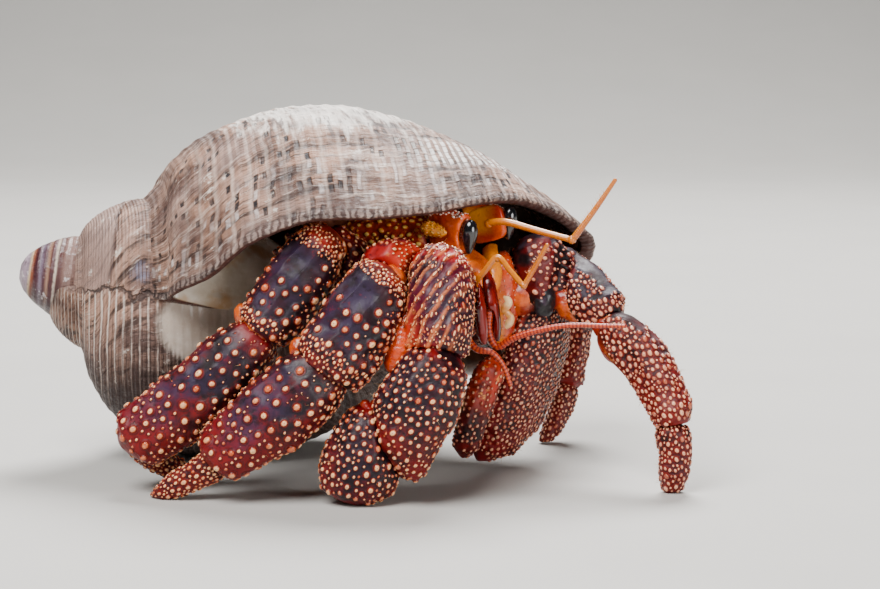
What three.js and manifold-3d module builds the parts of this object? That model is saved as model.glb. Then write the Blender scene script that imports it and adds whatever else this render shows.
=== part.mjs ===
// A strawberry land hermit crab, life size, walking in its borrowed rock-shell.
// Millimetres. +X runs along the shell from its apex to its mouth end, +Y is the
// crab's far (left) side, +Z is up, and the floor that it stands on is z = 0.
import * as THREE from "three";
import { mergeVertices } from "three/addons/utils/BufferGeometryUtils.js";
import Module from "manifold-3d";

const wasm = await Module();
wasm.setup();

// ---------------------------------------------------------------- driving sizes

const DEG = Math.PI / 180;
const GAP = 0.3; // clear space kept between neighbouring pieces

const SHELL_APEX = [-42.9, 6.5, 19.5];
const SHELL_TILT = 9.5; // degrees that the axis drops towards the mouth end
const SHELL_YAW = 5; // degrees that the axis leans to the crab's left
const WHORL_GROWTH = 2.3; // how much each whorl is larger than the one before
const BELLY = 0.13; // share by which the underside of each whorl bulges
const TOP = 90; // angle of the top of the shell round its axis; 0 is the right side
const COLUMELLA = 3.2; // radius of the shell's pillar

const HEADING = -32 * DEG; // the way the head points, measured from +X
const HOME = [9.45, -3.35, 0]; // brings the middle of the crab's footprint to the origin

const UP = [0, 0, 1];
const ALONG = [1, 0, 0];
const AHEAD = [Math.cos(HEADING), Math.sin(HEADING), 0];

// ---------------------------------------------------------------- solid helpers

function vec(p) {
  return p instanceof THREE.Vector3 ? p.clone() : new THREE.Vector3(...p);
}

// A closed solid from one list of points and one of triangles, faces turned outwards.
function solidOf(points, triangles) {
  let volume = 0;
  for (const [a, b, c] of triangles)
    volume += points[a].dot(new THREE.Vector3().crossVectors(points[b], points[c]));
  const faces = volume > 0 ? triangles : triangles.map(([a, b, c]) => [a, c, b]);
  return new wasm.Manifold(
    new wasm.Mesh({
      numProp: 3,
      vertProperties: new Float32Array(points.flatMap((p) => [p.x, p.y, p.z])),
      triVerts: new Uint32Array(faces.flat()),
    }),
  );
}

// A skin through rings of equally many points, closed at both ends. Where cap is
// given it lists the triangles of an end, and otherwise the ends are fans.
function loft(rings, cap) {
  const n = rings[0].length;
  const points = rings.flat();
  const triangles = [];
  for (let i = 0; i + 1 < rings.length; i++)
    for (let j = 0; j < n; j++) {
      const a = i * n + j;
      const b = i * n + ((j + 1) % n);
      triangles.push([a, b, a + n], [b, b + n, a + n]);
    }
  const last = (rings.length - 1) * n;
  if (cap) {
    for (const [a, b, c] of cap) {
      triangles.push([a, c, b], [last + a, last + b, last + c]);
    }
    return solidOf(points, triangles);
  }
  for (const [ring, start, flip] of [
    [rings[0], 0, true],
    [rings[rings.length - 1], last, false],
  ]) {
    const middle = new THREE.Vector3();
    ring.forEach((p) => middle.addScaledVector(p, 1 / n));
    const m = points.push(middle) - 1;
    for (let j = 0; j < n; j++) {
      const a = start + j;
      const b = start + ((j + 1) % n);
      triangles.push(flip ? [b, a, m] : [a, b, m]);
    }
  }
  return solidOf(points, triangles);
}

function fromGeometry(geometry) {
  geometry.deleteAttribute("normal");
  geometry.deleteAttribute("uv");
  const g = mergeVertices(geometry, 1e-4);
  return new wasm.Manifold(
    new wasm.Mesh({
      numProp: 3,
      vertProperties: g.attributes.position.array,
      triVerts: new Uint32Array(g.index.array),
    }),
  );
}

function largest(solid) {
  return solid.decompose().reduce((a, b) => (b.volume() > a.volume() ? b : a));
}

// Value of a named size along a piece: rows are [place 0..1, value, value ...].
function along(rows, t) {
  let i = 0;
  while (i < rows.length - 2 && t > rows[i + 1][0]) i++;
  const [a, b] = [rows[i], rows[i + 1]];
  const u = THREE.MathUtils.clamp((t - a[0]) / (b[0] - a[0]), 0, 1);
  const s = u * u * (3 - 2 * u);
  return a.slice(1).map((v, k) => v + (b[k + 1] - v) * s);
}

// One segment of a limb: path is its middle line, sizes are rows of
// [place along it, width, height], up is the way its height points, and ends are
// the shares of its length over which it rounds off at its two ends.
function limb({ path, sizes, up = UP, ends = [0.14, 0.14], sides = 8, rings = 6, square = 2.3 }) {
  const line = new THREE.CatmullRomCurve3(path.map(vec), false, "centripetal");
  const length = line.getLength();
  return (grow) => {
    const all = Array.from({ length: rings + 1 }, (_, i) => {
      const t = 0.5 - 0.5 * Math.cos((Math.PI * (i + 0.35)) / (rings + 0.7)); // closer together at the ends
      const middle = line.getPointAt(t);
      const tangent = line.getTangentAt(t);
      const stretch = 1 + (2 * grow) / length;
      middle.addScaledVector(tangent, (t - 0.5) * length * (stretch - 1));
      const side = new THREE.Vector3().crossVectors(tangent, vec(up)).normalize();
      const top = new THREE.Vector3().crossVectors(side, tangent);
      const [width, height] = along(sizes, t);
      const near = Math.min(1, t / ends[0]);
      const far = Math.min(1, (1 - t) / ends[1]);
      const round = Math.sqrt(1 - (1 - near) ** 2) * Math.sqrt(1 - (1 - far) ** 2);
      const ring = [];
      for (let j = 0; j < sides; j++) {
        const a = (2 * Math.PI * (j + 0.5)) / sides;
        const c = Math.cos(a);
        const s = Math.sin(a);
        const bulge = (Math.abs(c) ** square + Math.abs(s) ** square) ** (-1 / square);
        ring.push(
          middle
            .clone()
            .addScaledVector(side, c * bulge * ((width / 2) * round + grow))
            .addScaledVector(top, s * bulge * ((height / 2) * round + grow)),
        );
      }
      return ring;
    });
    return loft(all);
  };
}

// Fewer faces for the pieces that lie inside the shell or behind the others.
const HIDDEN = { sides: 7, rings: 4 };

// A round feeler: an even or tapering tube along a smooth line.
function feeler({ path, from, to, rings = 10 }) {
  return limb({
    path,
    sizes: [
      [0, from, from],
      [1, to, to],
    ],
    ends: [0.03, 0.04],
    sides: 5,
    rings,
    square: 2,
  });
}

function ball({ at, radii, turn = 0 }) {
  return (grow) => {
    const g = new THREE.SphereGeometry(1, 10, 6);
    g.rotateX(Math.PI / 2);
    g.scale(radii[0] + grow, radii[1] + grow, radii[2] + grow);
    g.rotateZ(turn * DEG);
    g.translate(...at);
    return fromGeometry(g);
  };
}

// ---------------------------------------------------------------- the shell

const axis = new THREE.Vector3(
  Math.cos(SHELL_TILT * DEG) * Math.cos(SHELL_YAW * DEG),
  Math.cos(SHELL_TILT * DEG) * Math.sin(SHELL_YAW * DEG),
  -Math.sin(SHELL_TILT * DEG),
);
const axisRight = new THREE.Vector3().crossVectors(axis, vec(UP)).normalize();
const axisUp = new THREE.Vector3().crossVectors(axisRight, axis);

// Outline of the last whorl as it stands at the top of the shell: distance along the
// axis from the apex, distance out from the axis, and the angle round the axis at
// which the growing edge ends there.
const WHORL = [
  [8, 5.2, 3],
  [10, 7.4, 3],
  [11.2, 9.6, 4],
  [12.2, 11, 5],
  [13, 13.3, 9],
  [15.4, 16.2, 14],
  [18.5, 18.5, 23],
  [23.4, 21, 29],
  [29.3, 22.1, 31],
  [34.8, 21.8, 36],
  [39.5, 20.9, 43],
  [44.5, 19.2, 51],
  [49.6, 16.7, 57],
  [53.4, 13.9, 62],
  [55, 10.6, 71],
  [54.6, 7.2, 82],
  [52.4, 4.4, 90],
  [44, 2.2, 90],
  [20, 2, 50],
  [9, 2, 10],
];
// The hollow inside it, in the same measures.
const HOLLOW = [
  [13, 10.4, -14],
  [14.1, 12.9, -10],
  [16.4, 15, -6],
  [19.2, 17.1, 0],
  [23.8, 19.6, 5],
  [29.3, 20.7, 8],
  [34.7, 20.4, 12],
  [39.1, 19.6, 18],
  [44, 17.9, 24],
  [48.8, 15.5, 32],
  [52, 13, 42],
  [53.2, 10.4, 52],
  [52.7, 7.8, 60],
  [48.5, 5.4, 60],
  [30, 5, 20],
  [21, 9.2, -10],
  [16.5, 10.2, -14],
];
const SUTURE_POINTS = 13; // the outline's points that show on a whorl of the spire
const TUCK = 0.07; // step by which each stretch of the coil is tucked under the next

function shellPoint(s, r, angle) {
  const k = WHORL_GROWTH ** ((TOP - angle) / 360);
  const under = 1 + BELLY * Math.max(0, -Math.sin(angle * DEG)) ** 2;
  return vec(SHELL_APEX)
    .addScaledVector(axis, s * k)
    .addScaledVector(axisRight, r * k * under * Math.cos(angle * DEG))
    .addScaledVector(axisUp, r * k * under * Math.sin(angle * DEG));
}

// The outline moved outwards by grow, or inwards where grow is negative.
function offsetOutline(outline, grow) {
  const n = outline.length;
  return outline.map(([s, r, edge], i) => {
    const [s0, r0] = outline[(i + n - 1) % n];
    const [s1, r1] = outline[(i + 1) % n];
    const l = Math.hypot(s1 - s0, r1 - r0);
    return [s - (grow * (r1 - r0)) / l, r + (grow * (s1 - s0)) / l, edge];
  });
}

// A stretch of the coil from one angle down to another; without a second angle it
// runs on to the growing edge. inner is the share of its size that it starts with.
function coil(outline, { from, to, steps, inner = 1 }) {
  const flat = outline.map(([s, r]) => new THREE.Vector2(s, r));
  const turn = Math.sign(THREE.ShapeUtils.area(flat));
  const cap = THREE.ShapeUtils.triangulateShape(flat, []).map(([a, b, c]) =>
    Math.sign(THREE.ShapeUtils.area([flat[a], flat[b], flat[c]])) === turn ? [a, b, c] : [a, c, b],
  );
  const middle = flat.reduce((sum, p) => sum.addScaledVector(p, 1 / flat.length), new THREE.Vector2());
  const rings = [];
  for (let i = 0; i <= steps; i++) {
    const t = i / steps;
    const size = THREE.MathUtils.lerp(inner, 1, Math.min(1, t * 2.5));
    rings.push(
      outline.map(([s, r, edge]) =>
        shellPoint(
          THREE.MathUtils.lerp(middle.x, s, size),
          THREE.MathUtils.lerp(middle.y, r, size),
          THREE.MathUtils.lerp(from, to ?? edge, t),
        ),
      ),
    );
  }
  return loft(rings, cap);
}

// A turned piece on the shell's own axis, from rows of [radius, distance along it].
function onAxis(profile, sides) {
  const lathe = new THREE.LatheGeometry(
    profile.map(([r, s]) => new THREE.Vector2(r, s)),
    sides,
  );
  lathe.applyMatrix4(new THREE.Matrix4().makeBasis(axisRight, axis, axisUp).setPosition(...SHELL_APEX));
  return fromGeometry(lathe);
}

// The coil in four stretches, each tucked a hair under the next so that they join
// cleanly, a blunt cap at the apex, the pillar in the middle and the hollow.
function shell(grow) {
  const whorl = (tuck) => offsetOutline(WHORL, grow - tuck * TUCK);
  const spire = (tuck) => whorl(tuck).filter((_, i) => (i < SUTURE_POINTS ? i % 2 === 0 : i > 17));
  const parts = [
    coil(whorl(0), { from: TOP + 115, steps: 10 }),
    coil(whorl(1), { from: TOP + 320, to: TOP + 110, steps: 9 }),
    coil(spire(2), { from: TOP + 480, to: TOP + 312, steps: 7 }),
    coil(spire(3), { from: TOP + 680, to: TOP + 472, steps: 7, inner: 0.2 }),
    onAxis(
      [
        [0, -0.2],
        [1.3 + grow, 0.1 - grow],
        [2.3 + grow, 1],
        [3.1 + grow, 2.1],
        [3.8 + grow, 3.3],
        [4.3 + grow, 4.6],
        [4.5 + grow, 6],
        [2, 9],
        [0, 9],
      ],
      12,
    ),
    onAxis(
      [
        [0, 4],
        [2, 5],
        [COLUMELLA + grow, 16],
        [COLUMELLA + grow, 40],
        [COLUMELLA + 0.5 + grow, 47],
        [COLUMELLA - 0.6 + grow, 51.5],
        [1.2 + grow, 54],
        [0, 54.6 + grow],
      ],
      8,
    ),
  ];
  const hollow = coil(offsetOutline(HOLLOW, -grow), { from: TOP + 190, steps: 11, inner: 0.45 });
  return largest(parts.reduce((a, b) => a.add(b)).subtract(hollow));
}

// ---------------------------------------------------------------- the crab's own solids

// Colours of the finishes.
const PURPLE = { color: 0x4a1a26, roughness: 0.3, metalness: 0 };
const RED = { color: 0x8e2418, roughness: 0.32, metalness: 0 };
const ORANGE = { color: 0xd9591c, roughness: 0.4, metalness: 0 };
const YELLOW = { color: 0xe08a2a, roughness: 0.4, metalness: 0 };
const BLACK = { color: 0x0b0a0d, roughness: 0.08, metalness: 0 };
const FLESH = { color: 0xb0603a, roughness: 0.5, metalness: 0 };
const CHALK = { color: 0x8b7a6e, roughness: 0.7, metalness: 0 };

// Pieces in order of rank: where two would meet, the later one is cut back to leave
// the gap. So a segment seats in the cup at the end of the one that carries it.
const pieces = [];
function add(name, finish, make) {
  pieces.push({ name, finish, make });
}

add("shell", CHALK, shell);

// Right claw leg, the smaller one, folded down beside the mouth.
add("right_claw_finger", PURPLE, limb({
  path: [[-5.9, -15.2, 9.6], [-7.2, -16, 6.3], [-7.6, -16, 3.3], [-8, -15.4, -0.3]],
  sizes: [[0, 3.6, 3.2], [0.3, 5.2, 5.6], [0.62, 6, 8.3], [0.88, 5.4, 7], [1, 4.6, 5]],
  up: ALONG,
  ends: [0.2, 0.2],
  rings: 8,
}));
add("right_claw_palm", PURPLE, limb({
  path: [[0.4, -15.2, 15], [-1.1, -16.6, 11.5], [-2.5, -17, 8.2], [-2.5, -16, 2.6]],
  sizes: [[0, 4.8, 5], [0.2, 6, 6.6], [0.46, 6.4, 8.4], [0.68, 5.6, 6.6], [0.88, 4.2, 4], [1, 3, 2.8]],
  up: ALONG,
  rings: 8,
}));
add("right_claw_carpus", PURPLE, limb({
  path: [[-0.4, -11, 23.9], [0.1, -14.2, 19], [-0.4, -15.2, 13.6]],
  sizes: [[0, 4.4, 4.6], [0.3, 5.6, 6.2], [0.7, 6.2, 6.8], [1, 5.6, 6]],
  up: ALONG,
}));
add("right_claw_merus", PURPLE, limb({
  path: [[2.6, -6, 14.2], [1.4, -8, 18.5], [0.2, -10, 22.9]],
  sizes: [[0, 3.6, 4], [0.5, 4.6, 5], [1, 4.4, 5]],
  up: ALONG,
  ...HIDDEN,
}));

// Right front walking leg.
add("right_leg2_dactyl", RED, limb({
  path: [[-20.2, -14.6, 4.1], [-24, -14, 2], [-27.8, -13.2, -0.1]],
  sizes: [[0, 3.2, 3.4], [0.5, 2.7, 2.9], [1, 1.4, 1.3]],
  rings: 5,
}));
add("right_leg2_propodus", PURPLE, limb({
  path: [[-9.5, -14.8, 13.6], [-15.6, -15.9, 8.5], [-21.9, -14.6, 3.8]],
  sizes: [[0, 4.8, 5], [0.25, 6.2, 7.5], [0.58, 6.2, 7.5], [0.85, 5.4, 6], [1, 4.4, 4.6]],
}));
add("right_leg2_carpus", PURPLE, limb({
  path: [[-5, -12.4, 22.2], [-7.7, -15.3, 17.2], [-11, -15.4, 11.9]],
  sizes: [[0, 4.8, 5], [0.3, 6.4, 7.2], [0.65, 6.8, 7.9], [0.9, 6, 7], [1, 5, 6]],
}));
add("right_leg2_merus", PURPLE, limb({
  path: [[-1.2, -5.2, 14.8], [-3.6, -8.4, 20.2], [-5.8, -11.6, 23.6]],
  sizes: [[0, 4, 4], [0.5, 5.4, 5.8], [0.85, 6, 7], [1, 5.4, 6.4]],
  up: ALONG,
  ...HIDDEN,
}));

// Right rear walking leg.
add("right_leg3_dactyl", RED, limb({
  path: [[-29.6, -9.6, 5.2], [-27.4, -7.4, 2.4], [-23.2, -5.6, -0.1]],
  sizes: [[0, 3.2, 3.4], [0.5, 2.7, 2.9], [1, 1.4, 1.3]],
  rings: 5,
}));
add("right_leg3_propodus", PURPLE, limb({
  path: [[-16.2, -10, 16.2], [-22.9, -11.2, 9.8], [-30.4, -10, 4.6]],
  sizes: [[0, 4.4, 4.8], [0.25, 5.6, 7], [0.6, 5.6, 7.4], [0.86, 5, 6.4], [1, 4.2, 5]],
}));
add("right_leg3_carpus", PURPLE, limb({
  path: [[-10.4, -7.6, 25.3], [-13.8, -10, 20.2], [-17.4, -10.5, 15]],
  sizes: [[0, 4.4, 4.6], [0.3, 5.4, 6.2], [0.7, 5.6, 6.4], [1, 4.8, 5.4]],
}));
add("right_leg3_merus", PURPLE, limb({
  path: [[-5, -2.4, 15], [-8, -4.8, 20], [-10.6, -7, 24.6]],
  sizes: [[0, 3.8, 3.8], [0.5, 4.8, 5], [1, 5, 5.4]],
  up: ALONG,
  ...HIDDEN,
}));

// Left claw leg, the larger one, hanging in front of the mouth.
add("left_claw_finger", PURPLE, limb({
  path: [[5.6, -3.4, 12.2], [3.6, -4.3, 7.2], [2.2, -3.8, 1.8]],
  sizes: [[0, 3.4, 2.6], [0.4, 4.2, 3], [0.8, 3.6, 2.8], [1, 2, 1.8]],
  up: AHEAD,
  rings: 5,
}));
add("left_claw_palm", PURPLE, limb({
  path: [[10.4, 0, 18], [9.7, 1.6, 12.6], [7.8, 1.7, 7], [3.8, -0.2, 1.4]],
  sizes: [[0, 5, 4.6], [0.28, 9.2, 5.4], [0.58, 9.6, 5.2], [0.84, 6, 4.2], [1, 2.6, 2.4]],
  up: AHEAD,
  sides: 10,
  rings: 8,
}));
add("left_claw_carpus", PURPLE, limb({
  path: [[8.7, -0.6, 24], [10.2, -1, 20.4], [10.7, -0.7, 16.8]],
  sizes: [[0, 4.6, 4], [0.4, 6, 4.8], [0.8, 6.4, 5], [1, 5.6, 4.4]],
  up: AHEAD,
  rings: 5,
}));
add("left_claw_merus", PURPLE, limb({
  path: [[5.6, -1.4, 12.6], [6.2, -1.4, 17.5], [6.9, -1.2, 22.6]],
  sizes: [[0, 4, 3.6], [0.5, 5.2, 4], [1, 4.8, 3.8]],
  up: AHEAD,
  ...HIDDEN,
}));

// Left front walking leg, stretched ahead.
add("left_leg2_dactyl", RED, limb({
  path: [[22.3, -10.4, 7], [22.6, -10.9, 3.5], [22.3, -10.6, -0.6]],
  sizes: [[0, 3.2, 3.6], [0.5, 2.9, 3.4], [1, 1.8, 2]],
  up: ALONG,
  ends: [0.14, 0.05],
  rings: 5,
}));
add("left_leg2_propodus", RED, limb({
  path: [[15.8, -4.6, 15.7], [19.5, -7.2, 12.7], [21.7, -9.6, 9.1], [22.4, -10.5, 5.9]],
  sizes: [[0, 4, 4.6], [0.25, 4.6, 5.4], [0.6, 4.4, 4.9], [1, 3.6, 4]],
  rings: 8,
}));
add("left_leg2_carpus", PURPLE, limb({
  path: [[11.2, 2.4, 21.6], [14, -1.6, 19], [16.8, -5, 16]],
  sizes: [[0, 4, 4.2], [0.35, 4.8, 4.8], [0.75, 5, 5.2], [1, 4.6, 5]],
  rings: 5,
}));
add("left_leg2_merus", PURPLE, limb({
  path: [[4, 2, 14.8], [7.2, 3.8, 18.4], [10.6, 3.4, 22]],
  sizes: [[0, 3.6, 3.8], [0.5, 4.6, 4.8], [1, 4.6, 4.8]],
  ...HIDDEN,
}));

// Left rear walking leg, standing behind the claw.
add("left_leg3_dactyl", RED, limb({
  path: [[13.8, 17.4, 6.4], [12.8, 16.4, 3], [10.6, 15, -0.2]],
  sizes: [[0, 2.8, 3], [0.5, 2.4, 2.6], [1, 1.4, 1.4]],
  up: ALONG,
  rings: 5,
}));
add("left_leg3_propodus", RED, limb({
  path: [[15, 19.2, 15.6], [14.6, 18.8, 11], [13.7, 17.4, 5.4]],
  sizes: [[0, 4, 3.8], [0.35, 5, 4.4], [0.75, 4.4, 4], [1, 3.2, 3.2]],
  up: ALONG,
  rings: 5,
}));
add("left_leg3_carpus", PURPLE, limb({
  path: [[14.6, 11.6, 16.2], [15.2, 15.6, 16.8], [15, 19.8, 14.8]],
  sizes: [[0, 4, 4.2], [0.5, 4.6, 4.8], [1, 4.4, 4.6]],
  rings: 5,
}));
add("left_leg3_merus", PURPLE, limb({
  path: [[0.4, 3.4, 13.6], [5.6, 4.6, 14], [10.6, 7.4, 14.9], [14.6, 12, 16.2]],
  sizes: [[0, 3.6, 3.8], [0.4, 4.4, 4.4], [0.8, 4.6, 4.8], [1, 4.4, 4.6]],
  ...HIDDEN,
}));

// Eyes on their flattened stalks.
for (const [side, cornea, path] of [
  ["right", [2.85, -7.5, 24.4], [[-0.8, -4.6, 24.2], [1, -6.1, 24.7], [2.6, -7.3, 24.4]]],
  ["left", [6.8, -2.9, 25.9], [[2.6, -0.8, 25.5], [4.6, -1.7, 26.6], [6.5, -2.7, 26.2]]],
]) {
  add(`${side}_cornea`, BLACK, ball({ at: cornea, radii: [1, 0.85, 1.75], turn: -32 }));
  add(`${side}_eyestalk`, ORANGE, limb({
    path,
    sizes: [[0, 1.8, 3.8], [0.45, 1.9, 5.5], [0.8, 1.8, 5.3], [1, 1.6, 3.8]],
    ends: [0.1, 0.16],
      rings: 6,
    square: 3.2,
  }));
}

// Feelers: the inner pair is jointed and carries a short whip, the outer pair is one
// long ringed whip on a stout base beside each eye.
add("right_antennule", YELLOW, feeler({
  path: [[2.9, -7.4, 19.4], [4.2, -8.6, 21.1], [5.5, -9, 22.6], [6.6, -9.5, 21.5], [7.9, -10, 20]],
  from: 0.8,
  to: 0.6,
}));
add("right_antennule_whip", YELLOW, feeler({
  path: [[8.2, -10.1, 20.1], [9.2, -10.3, 22], [10.3, -10.5, 24.1]],
  from: 0.75,
  to: 0.6,
  rings: 5,
}));
add("left_antennule", YELLOW, feeler({
  path: [[4.6, -4.7, 25.5], [6.4, -5.9, 25.7], [9.4, -7.4, 25], [12.4, -9, 24.35]],
  from: 0.8,
  to: 0.65,
  rings: 7,
}));
add("left_antennule_whip", YELLOW, feeler({
  path: [[12.9, -9.1, 24.5], [14.8, -9.3, 27.2], [16.8, -9.5, 30.3]],
  from: 0.85,
  to: 0.55,
  rings: 6,
}));
add("right_antenna", ORANGE, feeler({
  path: [
    [1.9, -9.4, 18.4], [2.5, -10.2, 15.4], [3.5, -10.7, 13.95],
    [4.9, -11, 13.7], [6, -11, 12.5], [6.8, -11, 10.4],
  ],
  from: 0.9,
  to: 0.55,
  rings: 9,
}));
add("left_antenna", ORANGE, feeler({
  path: [
    [5, -6.6, 18], [4.7, -7.6, 15.4], [5.5, -8, 13.8], [7, -8.7, 14.7], [9.1, -9.5, 15.5],
    [11.5, -10.3, 16.1], [13.6, -11, 16.3], [15.2, -11.4, 16.3], [17.8, -12, 16.35],
  ],
  from: 0.95,
  to: 0.55,
  rings: 11,
}));
add("right_antenna_scale", YELLOW, limb({
  path: [[-1.8, -6.2, 25.3], [-0.4, -6.8, 25], [0.9, -7.3, 24.7]],
  sizes: [[0, 1.4, 1.6], [0.5, 1.3, 1.4], [1, 0.8, 0.8]],
  sides: 6,
  rings: 4,
}));
add("left_antenna_scale", YELLOW, limb({
  path: [[4.6, 1.6, 25], [6, 0.8, 25], [7.4, 0, 24.8]],
  sizes: [[0, 1.4, 1.6], [0.5, 1.3, 1.4], [1, 0.8, 0.8]],
  sides: 6,
  rings: 4,
}));
add("right_antenna_base", ORANGE, limb({
  path: [[-0.6, -5.6, 22.6], [0.8, -7, 21], [1.8, -8.6, 19]],
  sizes: [[0, 2, 2], [0.5, 1.9, 1.9], [1, 1.2, 1.2]],
  rings: 5,
}));
add("left_antenna_base", ORANGE, limb({
  path: [[5, -0.4, 22.8], [5.3, -3, 21.2], [5.2, -5.6, 18.8]],
  sizes: [[0, 2, 2], [0.5, 1.9, 1.9], [1, 1.2, 1.2]],
  rings: 5,
}));

// Mouth: a pair of leg-like feeding limbs hanging under the face.
for (const [side, shift] of [
  ["right", [0, 0, 0]],
  ["left", [1.35, 2.2, 0]],
]) {
  const path = [[3.2, -7.6, 21], [3.7, -9.1, 17.4], [4.3, -8.9, 14]];
  add(`${side}_mouth_limb`, RED, limb({
    path: path.map((p) => p.map((v, i) => v + shift[i])),
    sizes: [[0, 1.8, 1.4], [0.5, 2, 1.6], [1, 1.4, 1.1]],
    up: ALONG,
    sides: 6,
    rings: 4,
  }));
}
add("mouth", ORANGE, limb({
  path: [[2.6, -5.6, 23], [3.4, -5.8, 19.5], [3, -5, 15]],
  sizes: [[0, 4.6, 2.6], [0.5, 5.4, 3.4], [1, 4.4, 3]],
  up: AHEAD,
  ...HIDDEN,
}));

// Body: the hard front shield, the chest that carries the legs, the softer back part
// and the belly that winds up into the shell, with its tail fan.
add("shield", PURPLE, limb({
  path: [[1.6, -3.4, 23.4], [-3.4, -0.3, 24.2], [-8.4, 2.8, 24]],
  sizes: [[0, 5.6, 3], [0.3, 8, 4.6], [0.8, 9, 5.2], [1, 8, 4.6]],
  rings: 7,
  square: 2.6,
}));
add("chest", PURPLE, limb({
  path: [[3, -4, 17.6], [-1.6, -1.2, 17.6], [-7.4, 2.4, 18.6]],
  sizes: [[0, 5, 6], [0.4, 7.6, 7.2], [1, 6.6, 6.6]],
  ...HIDDEN,
}));
// The two small hind pairs of legs stay inside and brace the body against the shell.
for (const [side, path4, path5] of [
  [
    "right",
    [[-7.6, -1.4, 17.4], [-11.6, -4, 19], [-15.4, -5.4, 20.8]],
    [[-9.4, 0.6, 19], [-13, -0.4, 21], [-16.6, -1.4, 22.6]],
  ],
  [
    "left",
    [[-6, 5.4, 16.8], [-9.6, 6.4, 19.4], [-13.4, 4.2, 21]],
    [[-8.6, 5, 19.6], [-12.4, 5.2, 21.6], [-15.6, 3, 23.6]],
  ],
]) {
  add(`${side}_leg4`, RED, limb({
    path: path4,
    sizes: [[0, 2, 2.4], [0.6, 2, 2.6], [1, 1.4, 1.8]],
    sides: 6,
    rings: 4,
  }));
  add(`${side}_leg5`, RED, limb({
    path: path5,
    sizes: [[0, 1.5, 1.7], [0.7, 1.4, 1.6], [1, 1.2, 1.4]],
    sides: 6,
    rings: 4,
  }));
}
const HOLLOW_MIDDLE = [32.5, 13.6]; // along and out from the shell's axis
function inHollow(...angles) {
  return angles.map((a) => shellPoint(...HOLLOW_MIDDLE, a).toArray());
}
add("back", FLESH, limb({
  path: [[-8.6, 2.6, 23.4], [-10.6, 5.2, 25.6], ...inHollow(98)],
  sizes: [[0, 7.6, 6], [0.5, 9, 8.4], [1, 8.4, 10]],
  ...HIDDEN,
}));
add("tail_fan", FLESH, limb({
  path: inHollow(250, 262, 274),
  sizes: [[0, 3, 4], [0.6, 2.6, 5], [1, 1.6, 3]],
  up: axis.toArray(),
  ...HIDDEN,
}));
add("belly_front", FLESH, limb({
  path: inHollow(100, 120, 140, 165),
  sizes: [[0, 8.6, 10], [0.5, 9, 12], [1, 7.6, 9.6]],
  up: axis.toArray(),
  ...HIDDEN,
}));
add("belly_rear", FLESH, limb({
  path: inHollow(166, 190, 215, 246),
  sizes: [[0, 7.4, 9.4], [0.5, 6.8, 8.4], [1, 4, 4.6]],
  up: axis.toArray(),
  ...HIDDEN,
}));

// ---------------------------------------------------------------- fitting and the group

const ground = fromGeometry(new THREE.BoxGeometry(200, 200, 40).translate(0, 0, -20));

function boxesMeet(a, b) {
  const [p, q] = [a.boundingBox(), b.boundingBox()];
  return [0, 1, 2].every((i) => p.min[i] < q.max[i] && q.min[i] < p.max[i]);
}

const body = new THREE.Group();
const fitted = [];
for (const { name, finish, make } of pieces) {
  let solid = make(0).subtract(ground);
  for (const grown of fitted) if (boxesMeet(solid, grown)) solid = solid.subtract(grown);
  fitted.push(make(GAP));
  const cut = largest(solid).getMesh();
  const geometry = new THREE.BufferGeometry()
    .setAttribute("position", new THREE.BufferAttribute(new Float32Array(cut.vertProperties), 3))
    .setIndex(new THREE.BufferAttribute(new Uint32Array(cut.triVerts), 1));
  geometry.computeVertexNormals();
  const mesh = new THREE.Mesh(geometry, new THREE.MeshStandardMaterial(finish));
  mesh.name = name;
  body.add(mesh);
}

body.position.set(...HOME);
const crab = new THREE.Group();
crab.add(body);

export default crab;
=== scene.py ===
# A strawberry land hermit crab, life size, walking in a worn rock-shell. Its solids come
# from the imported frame, and every surface is finished here. Metres, with sizes written in
# millimetres times MM. The crab's head points along +X and -Y, and the floor is z = 0.
import math

import bpy
import numpy as np
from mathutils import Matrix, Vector, noise


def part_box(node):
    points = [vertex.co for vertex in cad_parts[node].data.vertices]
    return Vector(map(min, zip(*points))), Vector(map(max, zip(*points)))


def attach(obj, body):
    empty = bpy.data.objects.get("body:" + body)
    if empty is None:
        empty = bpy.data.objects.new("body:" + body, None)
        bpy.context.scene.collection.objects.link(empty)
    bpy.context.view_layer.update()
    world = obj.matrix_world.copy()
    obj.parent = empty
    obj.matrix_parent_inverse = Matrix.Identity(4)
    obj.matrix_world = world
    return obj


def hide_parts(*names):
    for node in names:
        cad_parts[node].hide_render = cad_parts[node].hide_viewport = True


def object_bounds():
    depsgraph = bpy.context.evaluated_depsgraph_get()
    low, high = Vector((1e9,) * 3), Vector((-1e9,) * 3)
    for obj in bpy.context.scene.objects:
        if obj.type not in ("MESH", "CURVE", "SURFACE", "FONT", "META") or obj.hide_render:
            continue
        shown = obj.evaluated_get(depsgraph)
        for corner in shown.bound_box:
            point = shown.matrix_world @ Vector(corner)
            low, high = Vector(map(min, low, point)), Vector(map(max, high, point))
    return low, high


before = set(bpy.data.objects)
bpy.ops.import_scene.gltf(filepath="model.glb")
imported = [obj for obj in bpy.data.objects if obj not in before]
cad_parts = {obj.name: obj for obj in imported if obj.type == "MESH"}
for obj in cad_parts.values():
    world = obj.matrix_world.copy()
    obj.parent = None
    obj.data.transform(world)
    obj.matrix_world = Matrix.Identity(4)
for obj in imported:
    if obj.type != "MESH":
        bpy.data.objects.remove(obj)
cad_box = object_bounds()
bpy.ops.object.select_all(action="DESELECT")
MM = 0.001


# ------------------------------------------------------------------ floor, light, camera
# A plain pale floor that curves up into a back wall, lit by large soft lamps, with the
# camera low in front of the crab's right side.


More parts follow.
